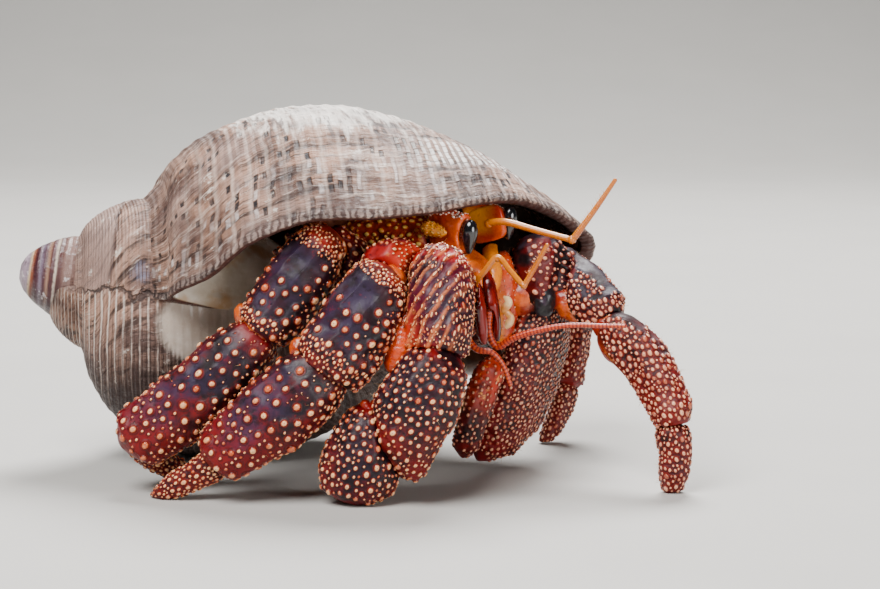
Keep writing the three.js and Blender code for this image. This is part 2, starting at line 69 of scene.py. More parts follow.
class Wire:
    """One output of a node. Sums on wires add the Math nodes that work them out."""

    def __init__(self, finish, socket):
        self.finish = finish
        self.socket = socket

    def step(self, low, high, first=0.0, last=1.0):
        """A smooth step from first to last, as this wire runs from low to high."""
        inputs = {0: self, 1: low, 2: high, 3: first, 4: last}
        return self.finish.node("ShaderNodeMapRange", {"interpolation_type": "SMOOTHSTEP"}, inputs)

    def fold(self):
        """Up from 0 to a half and down again, once for each whole number."""
        return self.finish.sum("PINGPONG", self, 0.5)

    def __add__(self, other):
        return self.finish.sum("ADD", self, other)

    def __sub__(self, other):
        return self.finish.sum("SUBTRACT", self, other)

    def __rsub__(self, other):
        return self.finish.sum("SUBTRACT", other, self)

    def __mul__(self, other):
        return self.finish.sum("MULTIPLY", self, other)

    def __truediv__(self, other):
        return self.finish.sum("DIVIDE", self, other)

    __radd__ = __add__
    __rmul__ = __mul__


class Finish:
    """A material built node by node on one Principled shader, whose steady values are set first."""

    def __init__(self, name, steady):
        self.material = bpy.data.materials.new(name)
        self.material.use_nodes = True
        self.tree = self.material.node_tree
        self.shader = self.tree.nodes["Principled BSDF"]
        for socket, value in steady.items():
            self.shader.inputs[socket].default_value = value

    def node(self, kind, settings, inputs, output=0):
        made = self.tree.nodes.new(kind)
        for name, value in settings.items():
            setattr(made, name, value)
        for name, value in inputs.items():
            if isinstance(value, Wire):
                self.tree.links.new(value.socket, made.inputs[name])
            else:
                made.inputs[name].default_value = value
        return Wire(self, made.outputs[output])

    def sum(self, operation, first, second=0.0):
        return self.node("ShaderNodeMath", {"operation": operation}, {0: first, 1: second})

    def feed(self, socket, wire):
        self.tree.links.new(wire.socket, self.shader.inputs[socket])

    def mark(self, name):
        return self.node("ShaderNodeAttribute", {"attribute_name": name}, {}, "Fac")

    def place(self):
        return self.node("ShaderNodeTexCoord", {}, {}, "Object")

    def axes(self, vector):
        return [self.node("ShaderNodeSeparateXYZ", {}, {0: vector}, axis) for axis in "XYZ"]

    def join(self, x, y, z):
        return self.node("ShaderNodeCombineXYZ", {}, {"X": x, "Y": y, "Z": z})

    def grain(self, vector, scale, detail=3.0, rough=0.55):
        inputs = {"Vector": vector, "Scale": scale, "Detail": detail, "Roughness": rough}
        return self.node("ShaderNodeTexNoise", {}, inputs)

    def mix(self, share, *ends):
        """Goes with share from one colour to the other. Each is a wire, or runs from 0 to 255."""
        first, last = [end if isinstance(end, Wire) else tint(end) for end in ends]
        settings = {"data_type": "RGBA", "clamp_factor": True}
        return self.node("ShaderNodeMix", settings, {0: share, 6: first, 7: last}, 2)

    def coat(self, share, colour):
        """Lays a colour over the one that the finish has so far."""
        self.colour = self.mix(share, self.colour, colour)

    def bump(self, height, depth, strength=1.0):
        inputs = {"Height": height, "Distance": depth, "Strength": strength}
        self.feed("Normal", self.node("ShaderNodeBump", {}, inputs))


def tint(colour):
    """A colour as it looks on a screen, 0 to 255, in the shader's own measure."""
    return tuple(((c / 255 + 0.055) / 1.055) ** 2.4 for c in colour) + (1.0,)


def paint(piece, finish):
    piece.data.materials.clear()
    piece.data.materials.append(finish.material)


# The camera looks at the middle of the animal from low above the floor.
CAMERA_AIM = Vector((9.45, -3.35, 17.9)) * MM
CAMERA_REACH = 244 * MM
CAMERA_RISE = math.radians(7)
bpy.ops.object.camera_add(
    location=CAMERA_AIM + CAMERA_REACH * Vector((0, -math.cos(CAMERA_RISE), math.sin(CAMERA_RISE))),
    rotation=(math.pi / 2 - CAMERA_RISE, 0, 0),
)
camera = bpy.context.object
camera.data.lens = 100
camera.data.sensor_width = 36
camera.data.clip_start = 0.01
bpy.context.scene.camera = camera

FLOOR_WIDTH = 2.4
WALL_PLACE = 0.75
WALL_HEIGHT = 1.2
WALL_BEND = 0.35
bpy.ops.mesh.primitive_plane_add(size=FLOOR_WIDTH, location=(0, WALL_PLACE - FLOOR_WIDTH / 2, 0))
floor = bpy.context.object
floor.name = "floor"
bpy.ops.object.mode_set(mode="EDIT")
bpy.ops.mesh.select_mode(type="EDGE")
bpy.ops.mesh.select_all(action="DESELECT")
bpy.ops.object.mode_set(mode="OBJECT")
for edge in floor.data.edges:
    edge.select = all(floor.data.vertices[i].co.y > 0.4 * FLOOR_WIDTH for i in edge.vertices)
bpy.ops.object.mode_set(mode="EDIT")
bpy.ops.mesh.extrude_region_move(TRANSFORM_OT_translate={"value": (0, 0, WALL_HEIGHT)})
bpy.ops.object.mode_set(mode="OBJECT")
for edge in floor.data.edges:
    ends = [floor.data.vertices[i].co for i in edge.vertices]
    edge.select = all(end.y > 0.4 * FLOOR_WIDTH and end.z < 0.01 for end in ends)
bpy.ops.object.mode_set(mode="EDIT")
bpy.ops.mesh.bevel(offset=WALL_BEND, segments=16, affect="EDGES")
bpy.ops.object.mode_set(mode="OBJECT")
bpy.ops.object.shade_smooth()
floor_finish = Finish("pale_floor", {"Roughness": 0.75})
speckle = floor_finish.grain(floor_finish.place(), 40)
floor_finish.feed("Base Color", floor_finish.mix(speckle, (174, 171, 166), (182, 179, 174)))
paint(floor, floor_finish)

for name, power, size, spot, aim_at in [
    ("key", 5.2, 0.32, (-0.16, -0.26, 0.42), (0, 0, 0.015)),
    ("front_fill", 1.6, 0.25, (0.32, -0.38, 0.09), (0.01, 0, 0.018)),
    ("back", 6.6, 0.25, (0.05, 0.26, 0.42), (0, 0, 0.02)),
]:
    bpy.ops.object.light_add(type="AREA", location=spot)
    lamp = bpy.context.object
    lamp.name = name
    lamp.data.energy = power
    lamp.data.shape = "DISK"
    lamp.data.size = size
    lamp.rotation_euler = (Vector(aim_at) - Vector(spot)).to_track_quat("-Z", "Y").to_euler()
world = bpy.data.worlds.new("studio")
bpy.context.scene.world = world
world.use_nodes = True
world.node_tree.nodes["Background"].inputs["Color"].default_value = tint((228, 232, 238))
world.node_tree.nodes["Background"].inputs["Strength"].default_value = 0.04


# ------------------------------------------------------------------ shell
# The borrowed rock-shell: one chalky tube that winds round its axis to the left end, worn
# and bleached on top, with spiral cords, growth lines, a thick lip and a hollow that the
# crab lives in. It is one piece with its apex and pillar, and carries everything.

SHELL_APEX = Vector((-33.45, 3.15, 19.5))
SHELL_TILT = math.radians(9.5)
SHELL_YAW = math.radians(5)
WHORL_GROWTH = 2.3
BELLY = 0.13  # how much fuller the whorls are on their underside
TOP = 90  # the angle round the axis that looks up
WEAR = 0.2  # how far the finished skin lies inside the solid's own outline
CORD = 1.7  # spacing of the main spiral cords
GIRTH = 20  # radius of the last whorl, which turns growth into a length
MAX_RELIEF = 0.16
LIP_ROLL = 0.28  # how far the rolled lip stands out

shell_axis = Vector((
    math.cos(SHELL_TILT) * math.cos(SHELL_YAW),
    math.cos(SHELL_TILT) * math.sin(SHELL_YAW),
    -math.sin(SHELL_TILT),
))
shell_right = shell_axis.cross(Vector((0, 0, 1))).normalized()
shell_up = shell_right.cross(shell_axis)

# Outline of the last whorl at the top of the shell, in millimetres: distance along the
# axis, distance out from it, and the angle round it at which the lip ends there.
WHORL = np.array([
    (8, 5.2, 3), (10, 7.4, 3), (11.2, 9.6, 4), (12.2, 11, 5), (13, 13.3, 9),
    (15.4, 16.2, 14), (18.5, 18.5, 23), (23.4, 21, 29), (29.3, 22.1, 31), (34.8, 21.8, 36),
    (39.5, 20.9, 43), (44.5, 19.2, 51), (49.6, 16.7, 57), (53.4, 13.9, 62), (55, 10.6, 71),
    (54.6, 7.2, 82), (52.4, 4.4, 90), (44, 2.2, 90), (20, 2, 50), (9, 2, 10),
], float)
HOLLOW = np.array([
    (13, 10.4, -14), (14.1, 12.9, -10), (16.4, 15, -6), (19.2, 17.1, 0), (23.8, 19.6, 5),
    (29.3, 20.7, 8), (34.7, 20.4, 12), (39.1, 19.6, 18), (44, 17.9, 24), (48.8, 15.5, 32),
    (52, 13, 42), (53.2, 10.4, 52), (52.7, 7.8, 60), (48.5, 5.4, 60), (30, 5, 20),
    (21, 9.2, -10), (16.5, 10.2, -14),
], float)


def through(rows, places, tension=0.42):
    """Values of a closed smooth curve through rows, at places counted in rows."""
    n = len(rows)
    i = np.floor(places).astype(int)
    t = (places - i)[:, None]
    p0, p1, p2, p3 = (rows[(i + k) % n] for k in (-1, 0, 1, 2))
    m1 = tension * (p2 - p0)
    m2 = tension * (p3 - p1)
    return (
        (2 * t**3 - 3 * t**2 + 1) * p1 + (t**3 - 2 * t**2 + t) * m1
        + (3 * t**2 - 2 * t**3) * p2 + (t**3 - t**2) * m2
    )


def shell_points(s, r, angle):
    """Points of the shell, in metres, from its own measures in millimetres and degrees."""
    turn = np.radians(angle)
    k = WHORL_GROWTH ** ((TOP - angle) / 360)
    under = 1 + BELLY * np.clip(-np.sin(turn), 0, None) ** 2
    axis, right, up = (np.array(v) for v in (shell_axis, shell_right, shell_up))
    out = (r * k * under)[..., None] * (np.cos(turn)[..., None] * right + np.sin(turn)[..., None] * up)
    return (np.array(SHELL_APEX) + (s * k)[..., None] * axis + out) * MM


def rough(points, size, seed=0.0):
    """Smooth noise, about -1 to 1, at points in metres, with lumps of that size in millimetres."""
    scaled = points.reshape(-1, 3) / (size * MM) + seed
    return np.array([noise.noise(Vector(p)) for p in scaled]).reshape(points.shape[:-1])


def work_on(piece):
    bpy.ops.object.select_all(action="DESELECT")
    bpy.context.view_layer.objects.active = piece
    piece.select_set(True)


def new_piece(name, points, faces):
    """A smooth-shaded piece in the scene."""
    mesh = bpy.data.meshes.new(name)
    mesh.from_pydata([tuple(p) for p in points], [], faces)
    piece = bpy.data.objects.new(name, mesh)
    bpy.context.scene.collection.objects.link(piece)
    mesh.polygons.foreach_set("use_smooth", [True] * len(mesh.polygons))
    return piece


def closed(name, rings, ends):
    """A closed piece of rings of points, one after the other, and an end point beyond each end."""
    count, sides = rings.shape[:2]
    faces = []
    for i in range(count - 1):
        for j in range(sides):
            k = (j + 1) % sides
            faces.append((i * sides + j, i * sides + k, (i + 1) * sides + k, (i + 1) * sides + j))
    tip, last = count * sides, (count - 1) * sides
    faces += [(tip, (j + 1) % sides, j) for j in range(sides)]
    faces += [(tip + 1, last + j, last + (j + 1) % sides) for j in range(sides)]
    piece = new_piece(name, np.concatenate([rings.reshape(-1, 3), ends]), faces)
    work_on(piece)
    bpy.ops.object.mode_set(mode="EDIT")
    bpy.ops.mesh.select_all(action="SELECT")
    bpy.ops.mesh.normals_make_consistent(inside=False)
    bpy.ops.object.mode_set(mode="OBJECT")
    return piece


def set_marks(piece, **marks):
    """Keeps a number of each mark for each point of a piece, for its material to read."""
    for name, values in marks.items():
        values = np.broadcast_to(values, len(piece.data.vertices)).astype(np.float32)
        piece.data.attributes.new(name, "FLOAT", "POINT").data.foreach_set("value", values)


def place_piece(piece, finish, slot, *nodes):
    """Finishes a piece, which rides on the crab and takes the place of its nodes."""
    paint(piece, finish)
    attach(piece, "root")
    if nodes:
        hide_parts(*nodes)


# Columns run along the axis and back inside, closer on the part of the whorl that shows,
# which the first rows of its outline give.
SHOWN = 16
OUTER_COLUMNS = 158
INNER_COLUMNS = 10
fine = np.linspace(0, SHOWN, 2000)
steps = np.linalg.norm(np.diff(through(WHORL, fine)[:, :2], axis=0), axis=1)
arc = np.concatenate([[0], np.cumsum(steps)])
columns = np.concatenate([
    np.interp(np.linspace(0, arc[-1], OUTER_COLUMNS), arc, fine),
    np.linspace(SHOWN + 0.3, len(WHORL) - 0.3, INNER_COLUMNS),
])
across = np.interp(columns, fine, arc)
outline = through(WHORL, columns)
ahead, behind = np.roll(outline, -1, 0), np.roll(outline, 1, 0)
run = ahead - behind
run /= np.linalg.norm(run[:, :2], axis=1)[:, None]
outline[:, 0] += WEAR * run[:, 1]
outline[:, 1] -= WEAR * run[:, 0]
inner = through(HOLLOW, np.interp(
    columns, [0, 1, 2, 3, 16, 17, 18, 19, 20], [-1.3, -1, -0.4, 0, 13, 13.6, 14.3, 15.2, 15.7],
) % 17)

# Rows run from the deep end of the coil at the apex to the lip, over it and back inside. The
# outer rows are degrees back from the lip, and are closer on the last whorl.
OUTER_ROWS = np.concatenate([np.linspace(690, 362, 96), np.linspace(360, 0, 200)])
LIP_ROWS = np.linspace(0, 1, 8)[1:-1]
HOLLOW_ROWS = np.linspace(0, 1, 52)
edge = outline[:, 2]
outer = shell_points(outline[None, :, 0], outline[None, :, 1], edge + OUTER_ROWS[:, None])


def growth_lines(stretch, size, seed):
    """Noise drawn out along the lines of growth, which cross the cords."""
    return rough(np.stack([across * stretch + 0 * growth, growth, 0 * growth], -1) * MM, size, seed)


# Cords, growth lines and old breaks raise and lower the outer skin.
size = WHORL_GROWTH ** ((TOP - edge - OUTER_ROWS[:, None]) / 360)
growth = WHORL_GROWTH ** ((TOP - edge) / 360) - size
growth *= GIRTH * 2 * math.pi / math.log(WHORL_GROWTH)
down = np.gradient(outer, axis=0)
side = np.gradient(outer, axis=1)
normal = np.cross(down, side)
normal /= np.linalg.norm(normal, axis=2)[..., None] + 1e-12
cords = np.abs(np.cos(math.pi * across / CORD)) ** 5
lines = growth_lines(0.12, 0.9, 7.3)
wide_lines = growth_lines(0.07, 3.2, 2.1)
lumps = rough(outer, 7, 4.4)
shown = np.clip((SHOWN + 0.2 - columns) / 0.6, 0, 1)
height = 0.11 * (cords - 0.4) * size + 0.05 * lines * size + 0.14 * wide_lines * size + 0.12 * lumps
height = np.minimum(height, MAX_RELIEF)
outer = outer + normal * (height * shown)[..., None] * MM
outer[..., 2] = np.maximum(outer[..., 2], 0)

lip_outer = outer[-1]
hollow_angles = edge + 1.5 + HOLLOW_ROWS[:, None] * (TOP + 186 - edge - 1.5)
shrink = 1 - 0.55 * np.clip((HOLLOW_ROWS - 0.6) / 0.4, 0, 1)[:, None]
hollow_middle = HOLLOW[:, :2].mean(0)
drawn_in = hollow_middle[:, None, None] + (inner[:, :2].T[:, None] - hollow_middle[:, None, None]) * shrink
inside = shell_points(*drawn_in, hollow_angles)
forward = lip_outer - outer[-3]
forward /= np.linalg.norm(forward, axis=1)[:, None] + 1e-12
roll = [
    lip_outer * (1 - t) + inside[0] * t + forward * (LIP_ROLL * MM * math.sin(math.pi * t))
    for t in LIP_ROWS
]
rows = np.concatenate([outer, roll, inside])
whorls = closed("shell_whorls", rows, [rows[0].mean(0), rows[-1].mean(0)])


def over_rows(*values):
    """A mark's values on the outer skin, the lip and the hollow, and on the two end points."""
    counts = (len(OUTER_ROWS), len(LIP_ROWS), len(HOLLOW_ROWS))
    blocks = [np.broadcast_to(v, (n, len(columns))) for v, n in zip(values, counts)]
    return np.concatenate([np.concatenate(blocks).ravel(), [0, 1]])


set_marks(
    whorls,
    across=over_rows(across, across, across),
    growth=over_rows(growth, -0.4 * LIP_ROWS[:, None], -0.4 - 20 * HOLLOW_ROWS[:, None]),
    within=over_rows(0.0, LIP_ROWS[:, None], 1.0 + HOLLOW_ROWS[:, None]),
)


def shell_travel(x, y, z):
    """How far a place lies from the apex along the shell's axis."""
    travel = (x - SHELL_APEX.x * MM) * shell_axis.x + (y - SHELL_APEX.y * MM) * shell_axis.y
    return travel + (z - SHELL_APEX.z * MM) * shell_axis.z


PATCH = Vector((-21.3, -9.5, 22.4)) * MM  # the middle of a worn patch beside the suture
CRACK_HEIGHT = 18.4 * MM  # an old crack that runs along the spire
SUTURE = 9.2 * MM  # how far from the apex the smooth whorl ends
DASH_PITCH = 1.15  # of the dashes along a cord

# Worn chalk: taupe with wrinkled growth lines, broken pale cords, rows of dark dashes, a
# bleached top, a brown underside, and a glossy cream callus inside the lip.
chalk = Finish("worn_shell", {"Specular IOR Level": 0.35})
u = chalk.mark("across")
g = chalk.mark("growth")
depth = chalk.mark("within")
spot = chalk.place()
x, y, z = chalk.axes(spot)
clouds = chalk.grain(spot, 190, 4)
patches = chalk.grain(spot, 85, 3)
specks = chalk.grain(spot, 1400, 2)
fine_lines = chalk.grain(chalk.join(u * 0.3, g * 2.4 + clouds * 2.5, 0.0), 1.0, 4, 0.7)
broad_lines = chalk.grain(chalk.join(u * 0.12, g * 0.75 + patches * 2, 3.0), 1.0, 4, 0.6)
chalk.colour = chalk.mix(clouds.step(0.36, 0.64), (74, 46, 36), (162, 122, 100))
chalk.coat(patches.step(0.42, 0.66) * 0.5, (160, 132, 122))
chalk.coat(broad_lines.step(0.48, 0.37) * 0.85, (42, 25, 20))
chalk.coat(broad_lines.step(0.56, 0.7) * 0.6, (206, 182, 168))
chalk.coat(fine_lines.step(0.47, 0.35) * 0.8, (38, 24, 21))
chalk.coat(fine_lines.step(0.57, 0.7) * 0.5, (216, 196, 184))

# Spiral cords, pale and broken on their crests: plain below the crack on the spire, faint
# above it, and worn low on the last whorl.
ragged = (clouds + specks * 0.6).step(0.62, 0.95)
wobble = (chalk.grain(chalk.join(u * 0.3, g * 0.35, 9.0), 1.0, 2) - 0.5) * 0.7
spire = x.step(-14 * MM, -17 * MM)
crack_at = z + (chalk.grain(spot, 260, 4, 0.65) - 0.5) * 5 * MM
below = crack_at.step(18.6 * MM, 17.8 * MM)
plain = spire * (below - 0.3) + 0.4
main_cord = ((u + wobble) / CORD).fold() * 2
fine_cord = ((u + wobble * 0.6) / (CORD * 0.46)).fold() * 2
crest = main_cord.step(0.6, 1.0) * (0.35 + 0.65 * ragged)
chalk.coat(crest * plain * 0.8, (218, 200, 188))
groove = fine_cord.step(0.4, 0.0) * (0.5 + 0.5 * fine_lines.step(0.35, 0.55))
low_side = z.step(19 * MM, 9 * MM)
chalk.coat(groove * plain * (low_side * 0.7 + 0.3), (40, 22, 20))

# The smooth brown whorl above the crack, the dark suture beside it, and the crack itself.
seam_at = shell_travel(x, y, z) + (chalk.grain(spot, 300, 2) - 0.5) * 1.2 * MM
smooth_whorl = seam_at.step(SUTURE, SUTURE - 0.3 * MM) * (1 - below)
chalk.coat(smooth_whorl * 0.65, chalk.mix(clouds, (106, 80, 72), (168, 140, 130)))
seam = chalk.sum("ABSOLUTE", seam_at - SUTURE).step(0.28 * MM, 0.08 * MM) * (1 - below)
crack = chalk.sum("ABSOLUTE", crack_at - CRACK_HEIGHT).step(0.32 * MM, 0.08 * MM) * spire
crack = crack * y.step(0.0, -4 * MM)
# The lower part of the spire darkens, except on the cord crests: partly the less worn shell there, partly
# painted shade.
lower_spire_dark = (z + (clouds - 0.5) * 9 * MM).step(18 * MM, 9 * MM) * x.step(-6 * MM, -12 * MM)
chalk.coat(lower_spire_dark * (1 - crest * 0.8) * 0.8, (50, 30, 25))
chalk.coat(seam * 0.55, (44, 30, 34))
chalk.coat(crack * 0.8, (38, 26, 26))

# Short dark dashes along the cords, and chalky bars near the lip.
cell_u = chalk.sum("FLOOR", (u + wobble) / (CORD / 2))
chance = chalk.node("ShaderNodeTexWhiteNoise", {"noise_dimensions": "1D"}, {"W": cell_u})
cell_g = chalk.sum("FLOOR", g / DASH_PITCH + chance * 3.7)
cells = {"Vector": chalk.join(cell_u, cell_g, 0.0)}
pick = chalk.node("ShaderNodeTexWhiteNoise", {"noise_dimensions": "2D"}, cells)
in_u = ((u + wobble) / (CORD / 2)).fold() * 2
in_g = (g / DASH_PITCH + chance * 3.7).fold() * 2
cell = in_u.step(0.35, 0.7) * (in_g + specks * 0.3).step(0.1, 0.5)
dash = cell * pick.step(0.84, 0.86) * g.step(28, 22) * (ragged * 0.5 + 0.5)
chalk.coat(dash, (26, 19, 22))
bar_cell = in_u.step(0.3, 0.8) * g.step(10, 4) * g.step(1.2, 2.2)
block = bar_cell * pick.step(0.32, 0.26) * (0.3 + 0.7 * ragged)
chalk.coat(block * 0.75, (206, 194, 190))
beads = cell * u.step(30, 37) * g.step(5, 6) * g.step(11, 9.5)
chalk.coat(beads * 0.9, (232, 226, 220))

# A bluish worn patch beside the suture, and pale scuffs.
from_patch = chalk.node("ShaderNodeVectorMath", {"operation": "DISTANCE"}, {0: spot, 1: PATCH}, 1)
worn = (from_patch + (clouds - 0.5) * 7 * MM).step(4.2 * MM, 2.4 * MM)
grid = chalk.sum("MAXIMUM", 1 - fine_cord, 1 - fine_lines).step(0.6, 0.85)
chalk.coat(worn * 0.85, chalk.mix(grid, (138, 140, 166), (60, 50, 62)))
scuffs = chalk.grain(spot, 420, 5, 0.75).step(0.6, 0.66) * broad_lines.step(0.45, 0.6)
chalk.coat(scuffs * 0.75, (216, 204, 192))

# Bleached white along the top of the last whorl, streaked down the cords: partly the shell's own bleaching,
# partly a painted highlight where the light falls on the top.
streak = chalk.grain(chalk.join(u * 1.3, g * 0.22, 5.0), 1.0, 3)
bleach_and_top_light = (z + streak * 7 * MM + (clouds - 0.5) * 3 * MM).step(37.3 * MM, 39.6 * MM)
frayed = x + (streak - 0.5) * 26 * MM + (clouds - 0.5) * 12 * MM
bleach_and_top_light = bleach_and_top_light * frayed.step(-14 * MM, -7 * MM) * frayed.step(19 * MM, 10 * MM)
chalk.coat(bleach_and_top_light * (0.6 + 0.2 * ragged + 0.2 * crest), (238, 231, 222))
dark_streak = chalk.grain(chalk.join(u * 1.6, g * 0.3, 15.0), 1.0, 3).step(0.58, 0.66)
chalk.coat(dark_streak * z.step(32 * MM, 34 * MM) * 0.7, (84, 70, 66))

# Dark brown underside: partly the less worn shell there, partly painted shade.
under = (z + (clouds - 0.5) * 8 * MM).step(14 * MM, 3 * MM)
chalk.coat(under * 0.8, (42, 25, 23))

# A cream callus spreads from the mouth of the shell over the whorl beside it.
spread = chalk.join((x + 13.2 * MM) / 5.2, (z - 15.4 * MM) / 4.2, 0.0)
spread = chalk.node("ShaderNodeVectorMath", {"operation": "LENGTH"}, {0: spread}, 1)
spread = spread + (clouds - 0.5) * 0.5 * MM
spread = spread.step(1.05 * MM, 0.8 * MM) * y.step(-1 * MM, -4 * MM)
chalk.coat(spread, chalk.mix(clouds.step(0.35, 0.65), (170, 154, 140), (206, 196, 186)))

# The lip's margin is barred, its edge is red-brown, and the callus inside is cream.
bars = (u / 0.62 + wobble * 2 + specks * 1.5).fold() * 2
margin = g.step(1.5, 0.4)
chalk.coat(margin * bars.step(0.3, 0.6) * 0.75, (56, 38, 36))
chalk.coat(margin * bars.step(0.75, 0.4) * 0.2, (190, 174, 166))
lip_face = chalk.mix(chalk.grain(spot, 900), (44, 20, 18), (92, 58, 50))
chalk.coat(depth.step(0.05, 0.2), lip_face)
callus = chalk.mix(clouds.step(0.3, 0.7), (176, 160, 138), (216, 208, 196))
golden = chalk.grain(spot, 240, 3).step(0.5, 0.66)
callus = chalk.mix(golden * 0.6, callus, (176, 128, 70))
# Towards +X, where the crab sits in the mouth, and deeper in the hollow, the callus darkens with painted
# shade.
callus = chalk.mix(x.step(8 * MM, 20 * MM), callus, (60, 34, 26))
callus = chalk.mix(depth.step(1.08, 1.35), callus, (52, 30, 20))
chalk.coat(depth.step(0.85, 1.0), callus)
chalk.feed("Base Color", chalk.colour)
glossy = chalk.sum("MAXIMUM", depth.step(0.8, 1.0), spread)
chalk.feed("Roughness", specks.step(0.2, 0.9, 0.45, 0.85) - glossy * 0.4)
relief = fine_lines * 0.8 + broad_lines * 1.3 + main_cord * 0.25 + fine_cord * 0.25 + specks * 0.3
relief = relief - dash * 0.5 + block * 0.4 - crack * 1.2 - seam * 0.5
chalk.bump(relief * (1 - glossy * 0.95), 0.34 * MM)
place_piece(whorls, chalk, "rock_shell", "shell")


# The apex: the first whorls, worn down to a blunt stack of rings, and the pillar inside.
def turned(name, profile, segments=72):
    """A closed turned piece on the shell's axis, from rows of distance out and along, in mm."""
    rings = []
    for radius, s in profile:
        turns = np.radians(np.linspace(0, 360, segments, endpoint=False))
        rings.append([
            (SHELL_APEX + shell_axis * s + radius * (math.cos(a) * shell_right + math.sin(a) * shell_up)) * MM
            for a in turns
        ])
    return closed(name, np.array(rings[1:-1]), [rings[0][0], rings[-1][0]])


APEX_RINGS = [
    (0, -0.12), (0.8, -0.05), (1.35, 0.2), (1.9, 0.55), (2.3, 1.0), (2.55, 1.25), (2.95, 1.75),
    (3.1, 2.0), (3.4, 2.5), (3.6, 2.9), (3.72, 3.05), (4.0, 3.6), (4.1, 3.9), (4.15, 4.1), (4.4, 4.7),
    (4.45, 5.4), (4.2, 6.4), (2.5, 8.5), (0, 9),
]
apex = turned("shell_apex", APEX_RINGS)
bands = Finish("apex_bands", {"Specular IOR Level": 0.4})
spot = bands.place()
x, y, z = bands.axes(spot)
travel = shell_travel(x, y, z) / MM + (bands.grain(spot, 420, 2) - 0.5) * 0.25 + (z / MM - 19.5) * 0.03
bands.colour = bands.mix(bands.grain(spot, 700, 3), (112, 92, 104), (168, 150, 160))
for place, width, colour in [
    (0.95, 0.12, (186, 160, 126)), (1.15, 0.12, (120, 64, 40)), (1.45, 0.2, (62, 28, 36)),
    (2.0, 0.2, (112, 96, 110)), (2.35, 0.2, (66, 32, 38)), (2.75, 0.2, (150, 116, 96)),
    (3.0, 0.15, (74, 36, 38)), (3.5, 0.1, (198, 180, 164)), (3.75, 0.12, (76, 42, 40)),
    (4.3, 0.3, (126, 98, 90)),
]:
    bands.coat(travel.step(place - width, place + width), colour)
lower = (z + (bands.grain(spot, 300) - 0.5) * 6 * MM).step(19.5 * MM, 15.5 * MM)
bands.coat(lower * 0.85, (40, 16, 22))
mottle = bands.grain(spot, 1000, 4, 0.7)
bands.coat(mottle.step(0.6, 0.68) * 0.7, (206, 196, 196))
bands.coat(mottle.step(0.42, 0.34) * 0.6, (48, 24, 30))
bands.feed("Base Color", bands.colour)
bands.feed("Roughness", bands.grain(spot, 900).step(0.3, 0.7, 0.25, 0.5))
bands.bump(mottle + (travel / 0.7).fold(), 0.25 * MM)
place_piece(apex, bands, "rock_shell")

PILLAR = 3.2
pillar = turned("shell_pillar", [
    (0, 4), (2, 5), (PILLAR, 16), (PILLAR, 24), (PILLAR, 32), (PILLAR, 40), (PILLAR + 0.5, 47),
    (PILLAR - 0.2, 50), (PILLAR - 0.8, 51.5), (1.1, 53.6), (0, 54.2),
], 32)
glaze = Finish("pillar_glaze", {"Roughness": 0.2, "Coat Weight": 0.4})
cloudy = glaze.grain(glaze.place(), 260, 3)
glaze.feed("Base Color", glaze.mix(cloudy.step(0.35, 0.65), (52, 30, 24), (120, 84, 60)))
glaze.bump(glaze.grain(glaze.place(), 500, 3), 0.2 * MM, 0.4)
place_piece(pillar, glaze, "rock_shell")


# ------------------------------------------------------------------ armour of the limbs
# Each limb is a chain of hard hollow segments of dark glossy chitin. They keep the solids'
# own forms, rounded, and sit in the cups of the segments that carry them.


def apply_modifier(piece, kind, settings):
    """Works a modifier into the piece's own mesh."""
    work_on(piece)
    bpy.ops.object.modifier_add(type=kind)
    modifier = piece.modifiers[-1]
    for name, value in settings.items():
        setattr(modifier, name, value)
    bpy.ops.object.modifier_apply(modifier=modifier.name)


def point_array(piece, what="co"):
    """The places of a piece's points, or their normals, as rows of three."""
    values = np.empty(len(piece.data.vertices) * 3)
    piece.data.vertices.foreach_get(what, values)
    return values.reshape(-1, 3)


def triangle_corners(piece):
    """Which three points each triangle joins."""
    piece.data.calc_loop_triangles()
    corners = np.empty(len(piece.data.loop_triangles) * 3, int)
    piece.data.loop_triangles.foreach_get("vertices", corners)
    return corners.reshape(-1, 3)


def move_points(piece, points):
    piece.data.vertices.foreach_set("co", np.ascontiguousarray(points).ravel())
    piece.data.update()


def kept_in(points):
    """Points drawn in, where they pass it, to the box of the solids."""
    return np.clip(points, np.array(cad_box[0]), np.array(cad_box[1]))


def volume_and_area(piece):
    a, b, c = point_array(piece)[triangle_corners(piece)].transpose(1, 0, 2)
    cross = np.cross(b - a, c - a)
    return np.sum(a * cross) / 6, np.linalg.norm(cross, axis=1).sum() / 2


def rounded(name, nodes, grid=0.2, melt=26, join=0.0):
    """A smooth skin on the form of some CAD nodes, and of the same volume. Its points are a
    grid apart, it is smoothed melt times, and join swells the solids so that they meet."""
    parts = []
    for node in nodes:
        part = bpy.data.objects.new(name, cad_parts[node].data.copy())
        bpy.context.scene.collection.objects.link(part)
        parts.append(part)
    piece = parts[0]
    work_on(piece)
    for part in parts:
        part.select_set(True)
    if len(parts) > 1:
        bpy.ops.object.join()
    bpy.ops.object.mode_set(mode="EDIT")
    bpy.ops.mesh.select_all(action="SELECT")
    bpy.ops.mesh.remove_doubles(threshold=0.001 * MM)
    bpy.ops.object.mode_set(mode="OBJECT")
    if join:
        move_points(piece, point_array(piece) + join * MM * point_array(piece, "normal"))
    before, _ = volume_and_area(piece)
    apply_modifier(piece, "REMESH", {"mode": "VOXEL", "voxel_size": grid * MM, "adaptivity": 0.0})
    apply_modifier(piece, "SMOOTH", {"factor": 0.5, "iterations": melt})
    after, area = volume_and_area(piece)
    swell = (before - after) / area - join * MM
    move_points(piece, point_array(piece) + swell * point_array(piece, "normal"))
    piece.data.polygons.foreach_set("use_smooth", [True] * len(piece.data.polygons))
    piece.data.materials.clear()
    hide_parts(*nodes)
    return piece


